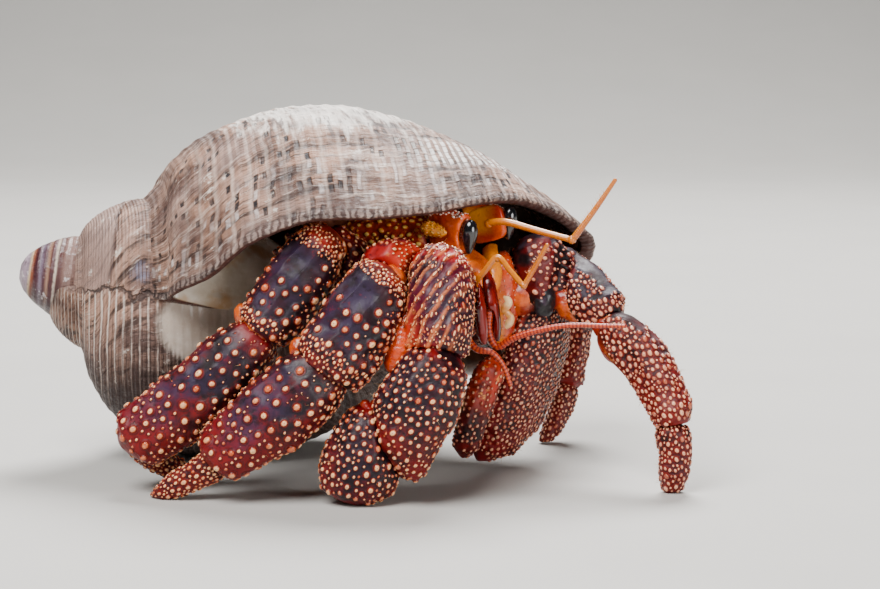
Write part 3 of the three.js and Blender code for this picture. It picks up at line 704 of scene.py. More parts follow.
class Lie:
    """How a segment lies: where it starts and ends, and which way its outer face looks."""

    def __init__(self, start, end, outward):
        self.start = np.array(start)
        self.length = np.linalg.norm(np.array(end) - start)
        self.axis = (np.array(end) - start) / self.length
        outward = np.array(outward, float)
        outward -= self.axis * (outward @ self.axis)
        self.out = outward / np.linalg.norm(outward)
        self.side = np.cross(self.axis, self.out)

    def measure(self, points):
        """Share of the length, and turn round it from -1 to 1 with 0 on the outer face."""
        from_start = points - self.start
        return (
            np.clip(from_start @ self.axis / self.length, 0, 1),
            np.arctan2(from_start @ self.side, from_start @ self.out) / math.pi,
        )


def lies_of(limb, segments, outward):
    """The lie of each segment, with the joints where neighbours' solids come closest."""
    clouds = [point_array(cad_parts[f"{limb}_{s}"]) for s in segments]
    joints = []
    for near, far in zip(clouds, clouds[1:]):
        reach = np.linalg.norm(far - near.mean(0), axis=1)
        joints.append(far[reach <= np.quantile(reach, 0.2)].mean(0))
    first = 2 * clouds[0].mean(0) - joints[0]
    last = 2 * clouds[-1].mean(0) - joints[-1]
    ends = [first] + joints + [last]
    return [Lie(a, b, outward) for a, b in zip(ends, ends[1:])]


# A seat is a row of twelve numbers: its place in the first three, the way it faces in the
# next three, and these.
RADIUS, LONG, ALONG, AROUND, TONE, TWIST = range(6, 12)
MOST_TRIES = 9000
LEAST_TRIES = 200


def scatter(skin, lie, beds, seed):
    """Seats for the granules of one segment: a bed of each kind after the other, none too close."""
    rng = np.random.default_rng(seed)
    corners = triangle_corners(skin)
    co = point_array(skin)
    normals = point_array(skin, "normal")
    a, b, c = co[corners].transpose(1, 0, 2)
    areas = np.linalg.norm(np.cross(b - a, c - a), axis=1)
    seats = np.zeros((0, 12))
    for where, small, large, gap, stretch in beds:
        fan = 0.55 if stretch > 2 else 0.0
        room = areas.sum() / 2 / (small * MM) ** 2 / 3 / gap**2
        count = int(min(MOST_TRIES, 26 * room)) + LEAST_TRIES
        chosen = rng.choice(len(areas), count, p=areas / areas.sum())
        share = rng.dirichlet((1, 1, 1), count)
        spots = np.einsum("nk,nkd->nd", share, co[corners[chosen]])
        tops = np.einsum("nk,nkd->nd", share, normals[corners[chosen]])
        tops /= np.linalg.norm(tops, axis=1)[:, None]
        t, f = lie.measure(spots)
        facing = tops @ lie.axis
        hidden = ((t > 0.84) & (facing > 0.7)) | ((t < 0.1) & (facing < -0.8)) | (spots[:, 2] < 0.25 * MM)
        wanted = (rng.random(count) < where(t, f)) & ~hidden
        radii = (small + (large - small) * rng.random(count) ** 1.5) * MM
        for i in np.flatnonzero(wanted):
            apart = seats[:, :3] - spots[i]
            lengthways = apart @ lie.axis
            tight = np.maximum(stretch, seats[:, LONG])
            distance = np.sum(apart**2, 1) - lengthways**2 * (1 - 1 / tight**2)
            if np.any(distance < (gap * (radii[i] + seats[:, RADIUS])) ** 2):
                continue
            long = 1 + (stretch - 1) * rng.uniform(0.5, 1.2) + rng.uniform(0, 0.2)
            twist = -fan * min(max(3 * f[i] + 0.6, -0.3), 1.1) + rng.normal(0, 0.2)
            seat = [*spots[i], *tops[i], radii[i], long, t[i], f[i], rng.random(), twist]
            seats = np.vstack([seats, seat])
    return seats


# One granule is a low dome of a few rings: turn round it and height in its own radii.
DOME_SIDES = 8
DOME = [(1.0, -0.15), (0.93, 0.34), (0.62, 0.66), (0.2, 0.78)]
DOME_TOP = 0.74  # a little lower than the last ring, so the top is pitted
BAKE_PATCH = 0.0015  # half the width of the patch that one granule or hair has on OFBake


def set_bake_places(piece, places):
    """Writes OFBake: each small item has a patch of its own round the place of its root."""
    corners = np.empty(len(piece.data.loops), int)
    piece.data.loops.foreach_get("vertex_index", corners)
    piece.data.uv_layers.new(name="OFBake").data.foreach_set("uv", places[corners].ravel())


def granules(name, groups, finish, slot, tall=1.0):
    """Joins the granules of a limb. groups are (seats, lie) for each of its segments."""
    turns = 2 * math.pi * np.arange(DOME_SIDES) / DOME_SIDES
    rings = [(w * math.cos(a), w * math.sin(a), height) for w, height in DOME for a in turns]
    shape = np.array(rings + [(0, 0, DOME_TOP)])
    count = len(shape)
    points, roots, rise, tone, faces = [], [], [], [], []
    for order, (seats, lie) in enumerate(groups):
        if not len(seats):
            continue
        spots, tops = seats[:, None, :3], seats[:, None, 3:6]
        radii, stretch, twist = (seats[:, None, k:k + 1] for k in (RADIUS, LONG, TWIST))
        along = lie.axis - tops * (tops @ lie.axis)[..., None]
        along /= np.linalg.norm(along, axis=-1)[..., None]
        cross = np.cross(tops, along)
        along, cross = (
            along * np.cos(twist) + cross * np.sin(twist),
            cross * np.cos(twist) - along * np.sin(twist),
        )
        x, y, z = shape[:, 0:1], shape[:, 1:2], shape[:, 2:3]
        points.append(spots + radii * (x * stretch * along + y * cross + tall * z * tops))
        root = np.stack([(order + seats[:, ALONG]) / len(groups), (seats[:, AROUND] + 1) / 2], 1)
        roots.append(root[:, None] + BAKE_PATCH * shape[:, :2])
        rise.append(np.tile(np.append(shape[:-1, 2], 1), len(seats)))
        tone.append(np.repeat(seats[:, TONE], count))
    points = np.concatenate(points).reshape(-1, 3)
    for first in range(0, len(points), count):
        top_ring = first + (len(DOME) - 1) * DOME_SIDES
        for a in range(first, top_ring, DOME_SIDES):
            for j in range(DOME_SIDES):
                k = (j + 1) % DOME_SIDES
                faces.append((a + j, a + k, a + k + DOME_SIDES, a + j + DOME_SIDES))
        for j in range(DOME_SIDES):
            faces.append((top_ring + j, top_ring + (j + 1) % DOME_SIDES, first + count - 1))
    piece = new_piece(name, kept_in(points), faces)
    set_marks(piece, rise=np.concatenate(rise), tone=np.concatenate(tone))
    set_bake_places(piece, np.concatenate(roots).reshape(-1, 2))
    place_piece(piece, finish, slot)


def set_halo(skin, seats):
    """Marks the ring of warmer colour that surrounds each granule on the skin."""
    co = point_array(skin)
    near = np.full(len(co), 9.0)
    for seat in seats:
        reach = seat[RADIUS] * (0.5 + 0.5 * seat[LONG])
        near = np.minimum(near, np.linalg.norm(co - seat[:3], axis=1) / reach)
    set_marks(skin, halo=np.clip((1.6 - near) / 0.5, 0, 1))


def armour_finish(name, deep, dark, warm, halo, sheen):
    """Dark glossy chitin: warm towards its ends and round each granule, with a grey-blue sheen painted on its
    smooth parts as a reflection.
    """
    finish = Finish(name, {"Coat Roughness": 0.36, "Specular IOR Level": 0.22})
    spot = finish.place()
    along = finish.mark("along")
    ring = finish.mark("halo")
    clouds = finish.grain(spot, 330, 3)
    mottle = finish.grain(spot, 1100, 4, 0.65)
    fine = finish.grain(spot, 3000, 2)
    finish.colour = finish.mix(clouds.step(0.38, 0.62), deep, dark)
    warmth = (finish.mark("warmth") + (clouds - 0.5) * 1.1 + (mottle - 0.5) * 0.8).step(0.35, 0.85)
    finish.coat(warmth, warm)
    # Painted reflection: a grey-blue sheen in patches over the smooth bands and bare tops.
    plain = finish.mark("smooth")
    bloom = plain * finish.grain(spot, 420, 3).step(0.36, 0.62)
    finish.coat(bloom * 0.8, sheen)
    finish.coat(mottle.step(0.58, 0.7) * 0.45, warm)
    finish.coat(mottle.step(0.42, 0.32) * 0.6, deep)
    finish.coat(ring.step(0.35, 1.0) * 0.8, halo)
    finish.coat(ring.step(0.0, 0.3) * ring.step(0.6, 0.3) * 0.6, deep)
    rim = along.fold().step(0.09, 0.0)
    finish.coat(rim * clouds.step(0.4, 0.6), warm)
    heat = finish.mark("hot")
    hot = heat * (clouds + mottle * 0.5).step(0.45, 0.85)
    finish.coat(hot, (178, 40, 0))
    crest = finish.mark("ridge") * mottle.step(0.36, 0.56)
    finish.coat(crest * 0.8, (206, 108, 58))
    veins = finish.grain(spot, 640, 4, 0.65).step(0.58, 0.66)
    finish.coat(heat * veins * 0.7, (246, 160, 72))
    wear = finish.grain(spot, 1500, 5, 0.8).step(0.66, 0.72)
    finish.coat(wear * 0.5, (198, 150, 130))
    finish.feed("Base Color", finish.colour)
    finish.feed("Roughness", mottle.step(0.3, 0.7, 0.32, 0.54) + plain * 0.16)
    finish.feed("Coat Weight", 0.16 - plain * 0.1)
    finish.bump(clouds * (0.9 - plain * 0.7) + mottle * 0.3 + fine * 0.08 + ring * 0.3, 0.28 * MM, 0.8)
    return finish


# Each armour: its name, deep and dark ground, warm colour, colour round the granules, and the colour of its
# painted sheen.
PURPLE, RED, MAGENTA, BLACK = [armour_finish(*row) for row in [
    ("purple_armour", (16, 0, 7), (40, 1, 16), (108, 0, 4), (104, 10, 0), (46, 32, 58)),
    ("red_armour", (24, 0, 2), (62, 0, 2), (106, 4, 0), (110, 16, 0), (44, 16, 26)),
    ("magenta_armour", (30, 0, 12), (78, 2, 24), (140, 8, 6), (112, 14, 4), (60, 34, 66)),
    ("black_armour", (12, 0, 5), (34, 1, 13), (92, 3, 4), (96, 8, 1), (50, 38, 52)),
]]


def pearl_finish(name, foot, body, crown, pit):
    """A glossy bead: dark at its foot, cream of its own tone above, with a small tawny pit."""
    finish = Finish(name, {"Coat Weight": 0.35, "Coat Roughness": 0.12, "Specular IOR Level": 0.35})
    rise = finish.mark("rise")
    tone = finish.mark("tone")
    blotch = finish.grain(finish.place(), 1800, 2)
    lift = rise.step(0.36, 0.7) * (tone + (blotch - 0.5) * 0.8).step(-0.1, 0.75)
    finish.colour = finish.mix(rise.step(0.0, 0.56), foot, finish.mix(lift, body, crown))
    pitted = rise.step(0.74, 0.96) * tone.step(0.3, 0.5)
    finish.coat(pitted * 0.85, pit)
    finish.feed("Base Color", finish.colour)
    finish.feed("Roughness", blotch.step(0.3, 0.7, 0.22, 0.42))
    return finish


cream_pearl = pearl_finish(
    "cream_pearl", (72, 4, 2), (186, 78, 34), (238, 184, 130), (140, 44, 12),
)
pink_pearl = pearl_finish(
    "pink_pearl", (56, 4, 4), (164, 74, 46), (226, 162, 126), (176, 90, 52),
)


def within(value, low, high, soft=0.06):
    """1 between low and high, and less beyond them over a soft border."""
    return np.clip((value - low) / soft, 0, 1) * np.clip((high - value) / soft, 0, 1)


def leg_carpus(t, f):
    return within(np.abs(f), 0.2, 0.52) + 0.18 * within(t, 0.45, 0.95)


# Beds of granules on each kind of segment: where they stand, smallest and largest radius
# in millimetres, how far apart in touching distances, and how long for their width.
BEDS = {
    "carpus": [
        (leg_carpus, 0.27, 0.38, 1.6, 1.1),
        (lambda t, f: within(np.abs(f), 0.34, 0.8), 0.13, 0.22, 1.15, 1.5),
        (lambda t, f: within(t, 0.84, 1.2) + within(t, -1, 0.14), 0.12, 0.19, 1.1, 1.2),
        (lambda t, f: 0.2 * within(np.abs(f), 0.2, 2), 0.07, 0.12, 1.6, 1.2),
    ],
    "propodus": [
        (lambda t, f: within(np.abs(f), -1, 0.52) * within(t, 0.05, 1.1), 0.28, 0.4, 1.85, 1.1),
        (lambda t, f: within(np.abs(f), 0.4, 0.85), 0.14, 0.23, 1.15, 1.4),
        (lambda t, f: 0.3 * within(np.abs(f), 0.25, 2) + 0.35 * within(t, 0.6, 1.2), 0.13, 0.2, 1.5, 1.1),
        (lambda t, f: 0.1 + 0 * t, 0.06, 0.1, 2.0, 1.2),
    ],
    "merus": [
        (lambda t, f: within(np.abs(f), 0.2, 0.6), 0.2, 0.28, 1.4, 1.2),
        (lambda t, f: 0.6 + 0 * t, 0.11, 0.19, 1.4, 1.2),
    ],
    "dactyl": [
        (lambda t, f: within(t, -0.1, 0.93), 0.16, 0.25, 1.3, 1.3),
        (lambda t, f: within(t, -0.1, 0.93), 0.1, 0.16, 1.2, 1.2),
    ],
    "claw": [
        (lambda t, f: 0.5 + 0 * t, 0.21, 0.3, 1.6, 1.15),
        (lambda t, f: 0.5 + 0.5 * t, 0.11, 0.19, 1.45, 1.15),
    ],
    "rough": [(lambda t, f: 0.15 + within(np.abs(f), 0.5, 2), 0.12, 0.2, 1.4, 1.2)],
    "bare": [(lambda t, f: 0.1 + 0 * t, 0.08, 0.12, 2.5, 1)],
    "ridged": [
        (lambda t, f: within(f, -0.3, 0.5) * within(t, -1, 0.9, 0.2), 0.1, 0.15, 1.5, 2.7),
        (lambda t, f: 0.8 * within(f, -2, 0.3) + 0.12, 0.08, 0.14, 1.4, 1.5),
    ],
    "large": [
        (lambda t, f: 0.8 * within(f, -0.35, 0.24 + 0.2 * t), 0.18, 0.29, 1.08, 1.35),
        (lambda t, f: within(f, -0.55, 0.3 + 0.25 * t), 0.1, 0.18, 1.1, 1.2),
    ],
    "dense": [
        (lambda t, f: 0.8 + 0 * t, 0.16, 0.23, 1.25, 1.2),
        (lambda t, f: 1 + 0 * t, 0.09, 0.15, 1.2, 1.15),
    ],
}

# Each limb: its segments from the body outwards, the way its outer face looks, the finish of
# its granules, and the bed and the finish of each segment.
LEG = ("merus", "carpus", "propodus", "dactyl")
CLAW = ("merus", "carpus", "palm", "finger")
LIMBS = [
    ("right_leg3", LEG, (-0.25, -1, 0.45), cream_pearl, LEG, (PURPLE, PURPLE, PURPLE, RED)),
    ("right_leg2", LEG, (-0.25, -1, 0.45), cream_pearl, LEG, (MAGENTA, PURPLE, PURPLE, RED)),
    ("right_claw", CLAW, (-0.1, -1, 0.1), cream_pearl,
     ("merus", "ridged", "claw", "claw"), (MAGENTA, MAGENTA, PURPLE, PURPLE)),
    ("left_claw", CLAW, (0.55, -1, 0.1), pink_pearl,
     ("bare", "claw", "dense", "rough"), (RED, BLACK, PURPLE, RED)),
    ("left_leg2", LEG, (0.1, -1, 0.5), pink_pearl,
     ("merus", "large", "large", "dactyl"), (PURPLE, BLACK, RED, RED)),
    ("left_leg3", LEG, (0.9, 0.3, 0.3), pink_pearl,
     ("merus", "carpus", "dactyl", "dactyl"), (PURPLE, PURPLE, RED, RED)),
]
FLAT = {"carpus": 0.6, "propodus": 0.4, "palm": 0.2}  # how far a segment's outer face is flattened
COLLAR_WIDTH = 0.22  # how much a segment widens over the foot of the next one
COLLAR_REACH = 0.55  # and how far it runs on over it
RIDGE_PITCH = 0.95
RIDGE_HEIGHT = 0.16

# How far the warm colour of its far end spreads over each kind of segment.
WARMTH = {"merus": 0.5, "carpus": 0.2, "propodus": 0.62, "dactyl": 0.9, "palm": 0.35, "finger": 0.4}


def claw_ridges(points, lie):
    """Height, 0 to 1, of the slanting ridges on the right claw's carpus."""
    from_start = (points - lie.start) / MM
    across = from_start @ lie.side * 0.82 - from_start @ lie.axis * 0.57
    wave = np.cos(2 * math.pi * (across + rough(points, 1.7, 5.0) * 0.3) / RIDGE_PITCH)
    _, f = lie.measure(points)
    return np.clip(wave, 0, 1) ** 1.3 * within(f, -0.3, 0.8, 0.25)


# Bare fiery places on some segments: from and to round the segment, and along it.
HOT_PLACES = {
    ("right_leg3", "carpus"): (-0.9, 0.9, -0.4, 0.07),
    ("right_leg2", "merus"): (-0.25, 0.25, -0.4, 1.4),
    ("right_leg2", "carpus"): (-0.9, 0.5, -0.4, 0.1),
    ("right_claw", "carpus"): (0.12, 0.95, 0.5, 1.4),
    ("left_claw", "merus"): (-2, 2, -1, 2),
    ("left_claw", "palm"): (0.2, 0.75, -0.3, 0.8),
    ("left_claw", "finger"): (-0.2, 0.6, -0.3, 0.6),
    ("left_leg2", "propodus"): (0.3, 2, -1, 2),
}

# These are bare along their tops, and their upward faces take the dark painted sheen.
BARE_TOPS = {("left_leg2", "carpus"), ("left_leg2", "propodus"), ("left_claw", "carpus")}

limb_seats = {}
for order, (limb, segments, outward, pearl, beds, finishes) in enumerate(LIMBS):
    lies = lies_of(limb, segments, outward)
    groups = []
    for place, (segment, bed, finish, lie) in enumerate(zip(segments, beds, finishes, lies)):
        ridged = bed == "ridged"
        fineness = {"grid": 0.15, "melt": 46} if ridged else {}
        skin = rounded(f"{limb}_{segment}_skin", [f"{limb}_{segment}"], **fineness)
        co = point_array(skin)
        out = point_array(skin, "normal")
        t, f = lie.measure(co)
        flat = FLAT.get(segment, 0.0) * (limb != "right_claw")
        keeled = 0.6 * np.exp(-((np.abs(f) - 0.42) / 0.13) ** 2) - np.exp(-(f / 0.24) ** 2)
        swell = flat * keeled * within(t, 0, 1, 0.25)
        collar = np.clip((t - 0.72) / 0.2, 0, 1) ** 2 * (segment not in ("dactyl", "finger"))
        swell += COLLAR_WIDTH * collar * (out @ lie.axis < 0.5)
        swell += rough(co, 2.6, 3.0 * order + place) * 0.2 + rough(co, 1.1, place) * 0.07 - 0.05
        ridge = claw_ridges(co, lie) * ridged
        swell += RIDGE_HEIGHT * ridge
        run_on = (COLLAR_REACH * MM * collar)[:, None] * lie.axis
        move_points(skin, kept_in(co + swell[:, None] * MM * out + run_on))
        # The smooth outer bands carry the painted sheen, less on the claws, and so do the upward faces of the
        # bare tops.
        plainness = 0.3 if limb.endswith("claw") else 1.0
        plain = plainness * within(np.abs(f), -1, 0.34, 0.24) * within(t, 0.0, 1.0, 0.3)
        if (limb, segment) in BARE_TOPS:
            plain = np.maximum(plain, np.clip((point_array(skin, "normal")[:, 2] - 0.5) / 0.2, 0, 1))
        warmth = np.clip(WARMTH[segment] * (0.35 + 1.1 * t) + 0.25 * np.abs(f), 0, 1)
        hot = 0.0
        if (limb, segment) in HOT_PLACES:
            low, high, start, stop = HOT_PLACES[limb, segment]
            hot = within(f, low, high, 0.2) * within(t, start, stop, 0.25)
        set_marks(skin, along=t, ridge=ridge, smooth=plain, warmth=warmth, hot=hot)
        seats = scatter(skin, lie, BEDS[bed], 10 * order + place)
        if ridged:
            on_crest = claw_ridges(seats[:, :3], lie) > 0.3
            seats = seats[on_crest | (seats[:, LONG] < 1.8) | (seats[:, AROUND] < -0.15)]
        if (limb, segment) in BARE_TOPS:
            seats = seats[seats[:, 5] < 0.72 + 0.1 * np.sin(9e3 * seats[:, 0])]
        set_halo(skin, seats)
        groups.append((seats, lie))
        place_piece(skin, finish, "red_armour" if finish is RED else "purple_armour")
    limb_seats[limb] = np.concatenate([seats for seats, _ in groups])
    granules(f"{limb}_granules", groups, pearl, "purple_armour")


# ------------------------------------------------------------------ joint membranes
# Between the hard segments is a soft wrinkled orange skin, which bulges out where a joint
# is bent. Each is one closed pad that fills the gap between its two segments.


def soft_finish(name, deep, bright, wrinkle=0.5):
    """Moist skin of two mixed colours, with fine folds."""
    finish = Finish(name, {"Subsurface Weight": 0.08, "Subsurface Scale": 0.8 * MM, "Coat Weight": 0.25})
    spot = finish.place()
    clouds = finish.grain(spot, 420, 3)
    folds = finish.grain(spot, 1500, 3, 0.6)
    finish.colour = finish.mix(clouds.step(0.36, 0.62), deep, bright)
    finish.coat(folds.step(0.52, 0.7) * 0.5, deep)
    finish.feed("Base Color", finish.colour)
    finish.feed("Roughness", folds.step(0.3, 0.7, 0.25, 0.45))
    finish.bump(folds * wrinkle + clouds, 0.3 * MM, 0.8)
    return finish


orange_skin = soft_finish("orange_skin", (140, 26, 0), (204, 84, 0))
fire_skin = soft_finish("fire_skin", (150, 12, 0), (222, 74, 0))


def smooth_path(path, count):
    """Points, and directions, evenly placed along a smooth open line through path."""
    path = np.array(path, float)
    ends = [2 * path[0] - path[1], *path, 2 * path[-1] - path[-2]]
    places = np.linspace(1, len(path), 40 * len(path)) - 1e-6
    dense = through(np.array(ends), places, 0.5)
    reach = np.concatenate([[0], np.cumsum(np.linalg.norm(np.diff(dense, axis=0), axis=1))])
    even = np.linspace(0, reach[-1], count)
    line = np.stack([np.interp(even, reach, dense[:, i]) for i in range(3)], 1)
    heading = np.gradient(line, axis=0)
    return line, heading / np.linalg.norm(heading, axis=1)[:, None], reach[-1]


def tube(name, path, widths, up=(0, 0, 1), flat=1.0, sides=20, count=60, ripple=0.0, pitch=0.4):
    """A closed round piece along a smooth path, in mm. widths are rows of (share of the length,
    radius), flat is its thickness along up for its width, and ripple raises rings at a pitch."""
    line, heading, length = smooth_path(path, count)
    share = np.linspace(0, 1, count)
    radius = np.interp(share, *np.array(widths, float).T)
    blunt = np.minimum(share, 1 - share) * length
    tip = radius * 0.9 + 1e-6
    radius = radius * np.sqrt(1 - (1 - np.clip(blunt / tip, 0.02, 1)) ** 2)
    radius = radius * (1 + ripple * np.cos(2 * math.pi * share * length / pitch))
    side = np.cross(heading, up)
    side /= np.linalg.norm(side, axis=1)[:, None]
    top = np.cross(side, heading)
    turns = 2 * math.pi * np.arange(sides) / sides
    rings = line[:, None] + radius[:, None, None] * (
        np.cos(turns)[None, :, None] * side[:, None] + flat * np.sin(turns)[None, :, None] * top[:, None]
    )
    piece = closed(name, rings * MM, [line[0] * MM, line[-1] * MM])
    along = np.concatenate([np.repeat(share, sides), [0, 1]])
    around = np.concatenate([np.tile(np.sin(turns), count), [0, 0]])
    set_marks(piece, along=along, reach=along * length, around=around)
    return piece


def ball(name, rings, reshape, at, radii, turn):
    """A ball, reshaped while its radius is 1, then stretched, turned and put at its place in mm."""
    bpy.ops.object.select_all(action="DESELECT")
    bpy.ops.mesh.primitive_uv_sphere_add(segments=48, ring_count=rings, radius=1)
    piece = bpy.context.object
    piece.name = name
    move_points(piece, reshape(point_array(piece)))
    piece.rotation_euler = turn
    piece.scale = [r * MM for r in radii]
    piece.location = Vector(at) * MM
    bpy.ops.object.transform_apply(location=True, rotation=True, scale=True)
    bpy.ops.object.shade_smooth()
    return piece


def pad(name, at, radii, turn, finish, wrinkles=0.12, seed=0.0, square=2):
    """A soft wrinkled ball of three radii, squarer where square is above 2."""
    def squared(co):
        return co / (np.abs(co) ** square).sum(1)[:, None] ** (1 / square)

    piece = ball(name, 28, squared, at, radii, turn)
    co = point_array(piece)
    folds = rough(co, 0.9, seed) * wrinkles + rough(co, 0.4, seed) * wrinkles * 0.4
    move_points(piece, co + folds[:, None] * MM * point_array(piece, "normal"))
    place_piece(piece, finish, "soft_body")
    return piece


for order, (limb, segments, outward, *_) in enumerate(LIMBS):
    lies = lies_of(limb, segments, outward)
    for place, (segment, lie) in enumerate(zip(segments[1:], lies[1:])):
        node = f"{limb}_{segment}"
        co = point_array(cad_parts[node])
        foot = co[(co - lie.start) @ lie.axis < 0.3 * lie.length] - lie.start
        foot -= np.outer(foot @ lie.axis, lie.axis)
        reach = np.linalg.norm(foot, axis=1).mean() / MM
        bent = -0.2 * reach * (lie.axis + 0.2 * lie.out)
        turn = Vector(lie.axis).to_track_quat("Z", "Y").to_euler()
        size = reach * (0.62 if place == 0 or limb == "left_claw" else 0.82)
        radii = (size, size, size * 0.8)
        skin = fire_skin if limb == "right_claw" else orange_skin
        pad(f"{node}_membrane", lie.start / MM + bent, radii, turn, skin, seed=order + place)

# The right claw's elbow is bent hard, so its membrane shows as a long bright fold, with
# another in the groove between the palm and the finger.
elbow = tube(
    "right_elbow_fold", [(7.3, -15.6, 20.6), (6.3, -17.4, 17.6), (5.7, -18.3, 14.6), (5.0, -18.6, 12.2)],
    [(0, 0.4), (0.3, 0.75), (0.75, 1.35), (1, 1.0)], up=(0, 1, 0), flat=0.8, ripple=0.04, pitch=0.5,
)
place_piece(elbow, fire_skin, "soft_body")
groove = tube(
    "right_palm_fold", [(2.2, -19.3, 9.9), (4.4, -20.5, 6.4), (6.3, -20.4, 3.7)],
    [(0, 0.45), (0.5, 0.6), (1, 0.35)], up=(0, 1, 0), ripple=0.05,
)
place_piece(groove, fire_skin, "soft_body")
pad("right_leg3_fold", (-9.2, -12.0, 16.6), (1.1, 1.1, 1.6), (0, -0.5, 0), orange_skin)
pad("right_leg2_fold", (-3.3, -16.6, 13.7), (1.3, 1.0, 1.9), (0, -0.6, 0), orange_skin)
pad("left_elbow_pad", (22.3, -5.8, 17.0), (1.9, 1.0, 1.3), (0, 0.7, 0), orange_skin, 0.2)


# ------------------------------------------------------------------ eyes
# Two flat kite-shaped stalks of smooth orange chitin, each with a row of white teeth along
# its top, and at the outer end a glossy black eye set in an orange rim.

orange_chitin = Finish("orange_chitin", {
    "Coat Weight": 0.35, "Coat Roughness": 0.15, "Subsurface Weight": 0.06, "Subsurface Scale": 0.6 * MM,
})
spot = orange_chitin.place()
clouds = orange_chitin.grain(spot, 380, 3)
orange_chitin.colour = orange_chitin.mix(clouds.step(0.36, 0.6), (174, 40, 0), (210, 78, 0))
orange_chitin.coat(orange_chitin.mark("warmth"), (160, 14, 0))
# Painted light: a mark lifts parts of the orange towards bright yellow, a painted highlight.
orange_chitin.coat(orange_chitin.mark("glow"), (250, 164, 20))
fine = orange_chitin.grain(spot, 1900, 2)
orange_chitin.coat(fine.step(0.58, 0.72) * 0.35, (160, 30, 0))
orange_chitin.feed("Base Color", orange_chitin.colour)
orange_chitin.feed("Roughness", fine.step(0.3, 0.7, 0.22, 0.38))
orange_chitin.bump(fine * 0.3 + clouds, 0.2 * MM, 0.5)

eye_black = Finish("eye_black", {"Coat Weight": 1.0, "Coat Roughness": 0.05, "Roughness": 0.2})
facets = {"Vector": eye_black.place(), "Scale": 9000.0}
cells = eye_black.node("ShaderNodeTexVoronoi", {"feature": "DISTANCE_TO_EDGE"}, facets)
bloom = eye_black.grain(eye_black.place(), 600, 2).step(0.45, 0.7)
eye_black.feed("Base Color", eye_black.mix(bloom, (7, 7, 9), (22, 22, 30)))
eye_black.bump(cells, 0.02 * MM, 0.25)

white_tooth = pearl_finish(
    "white_tooth", (196, 70, 24), (236, 180, 150), (250, 236, 228), (250, 240, 234),
)

HEADING = math.radians(-32)  # the way the crab's face looks
TEETH = [(lambda t, f: within(np.abs(f), -1, 0.13, 0.02) * within(t, 0.08, 0.95), 0.1, 0.15, 1.05, 1.4)]


def eye_shape(co):
    """A ball's points, spread more and more from the foot of the eye to its top."""
    widen = 0.8 + 0.26 * co[:, 2:]
    return co * np.hstack([widen, widen, np.ones_like(widen)])


for side, seed in [("right", 3), ("left", 5)]:
    stalk = rounded(f"{side}_eyestalk_skin", [f"{side}_eyestalk"], grid=0.11, melt=5)
    eye = sum(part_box(f"{side}_cornea"), Vector()) / 2
    low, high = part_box(f"{side}_eyestalk")
    root = Vector((low.x, high.y, (low.z + high.z) / 2))
    lie = Lie(root, eye, (0, 0, 1))
    co = point_array(stalk)
    toward_eye = np.array(eye) - co
    gap = np.linalg.norm(toward_eye * np.array((1, 1, 0.55)), axis=1) / MM
    rim = np.exp(-((gap - 1.15) / 0.35) ** 2)
    move_points(stalk, co + (0.16 * rim)[:, None] * MM * point_array(stalk, "normal"))
    co = point_array(stalk)
    t, f = lie.measure(co)
    top = (co[:, 2] - low.z) / (high.z - low.z)
    redder = 0.75 * within(t, 0.02, 0.5, 0.25) * np.clip(top + 0.2 + rough(co, 1.0, seed), 0, 1)
    # The far stalk has a band of painted highlight across its middle.
    glow = (side == "left") * np.exp(-((t - 0.3) / 0.16) ** 2) * within(top, 0.1, 0.7, 0.25)
    set_marks(stalk, warmth=np.clip(redder + 0.8 * (top > 0.88), 0, 1), glow=glow)
    place_piece(stalk, orange_chitin, "orange_armour")
    seats = scatter(stalk, lie, TEETH, seed)
    granules(f"{side}_eyestalk_teeth", [(seats, lie)], white_tooth, "orange_armour", tall=1.5)
    cornea = ball(f"{side}_eye", 32, eye_shape, eye / MM, (0.96, 0.9, 1.7), (0, 0.06, HEADING))
    place_piece(cornea, eye_black, "cornea", f"{side}_cornea")


# ------------------------------------------------------------------ feelers
# The inner pair are smooth amber rods with a bent knee and a short ringed whip that has a
# comb of hairs under it. The outer pair are long orange whips of many short rings.

RING = 0.36  # length of one ring of the outer feelers
FINE_RING = 0.24  # and of the whips of the inner ones
amber = Finish("amber_feeler", {"Coat Weight": 0.4, "Coat Roughness": 0.12})
rings = (amber.mark("reach") / FINE_RING).fold() * 2
amber.colour = amber.mix(amber.grain(amber.place(), 700), (168, 76, 0), (198, 114, 0))
amber.coat(amber.mark("whip") * rings.step(0.55, 0.9) * 0.5, (168, 62, 0))
# A painted highlight runs along one side of each rod.
amber.coat(amber.mark("around").step(0.55, 0.95) * 0.4, (244, 160, 10))
amber.feed("Base Color", amber.colour)
amber.feed("Roughness", amber.grain(amber.place(), 2500).step(0.3, 0.7, 0.2, 0.35))
amber.bump(rings * amber.mark("whip"), 0.05 * MM, 0.6)

ringed = Finish("ringed_feeler", {"Coat Weight": 0.3, "Coat Roughness": 0.2})
rings = (ringed.mark("reach") / RING).fold() * 2
ringed.colour = ringed.mix(ringed.mark("along"), (182, 44, 0), (190, 60, 0))
ringed.coat(rings.step(0.5, 0.2), (120, 16, 2))
ringed.coat(rings.step(0.75, 0.98) * 0.35, (226, 112, 20))
ringed.feed("Base Color", ringed.colour)
ringed.feed("Roughness", ringed.grain(ringed.place(), 2500).step(0.3, 0.7, 0.25, 0.42))
ringed.bump(rings, 0.06 * MM, 0.8)

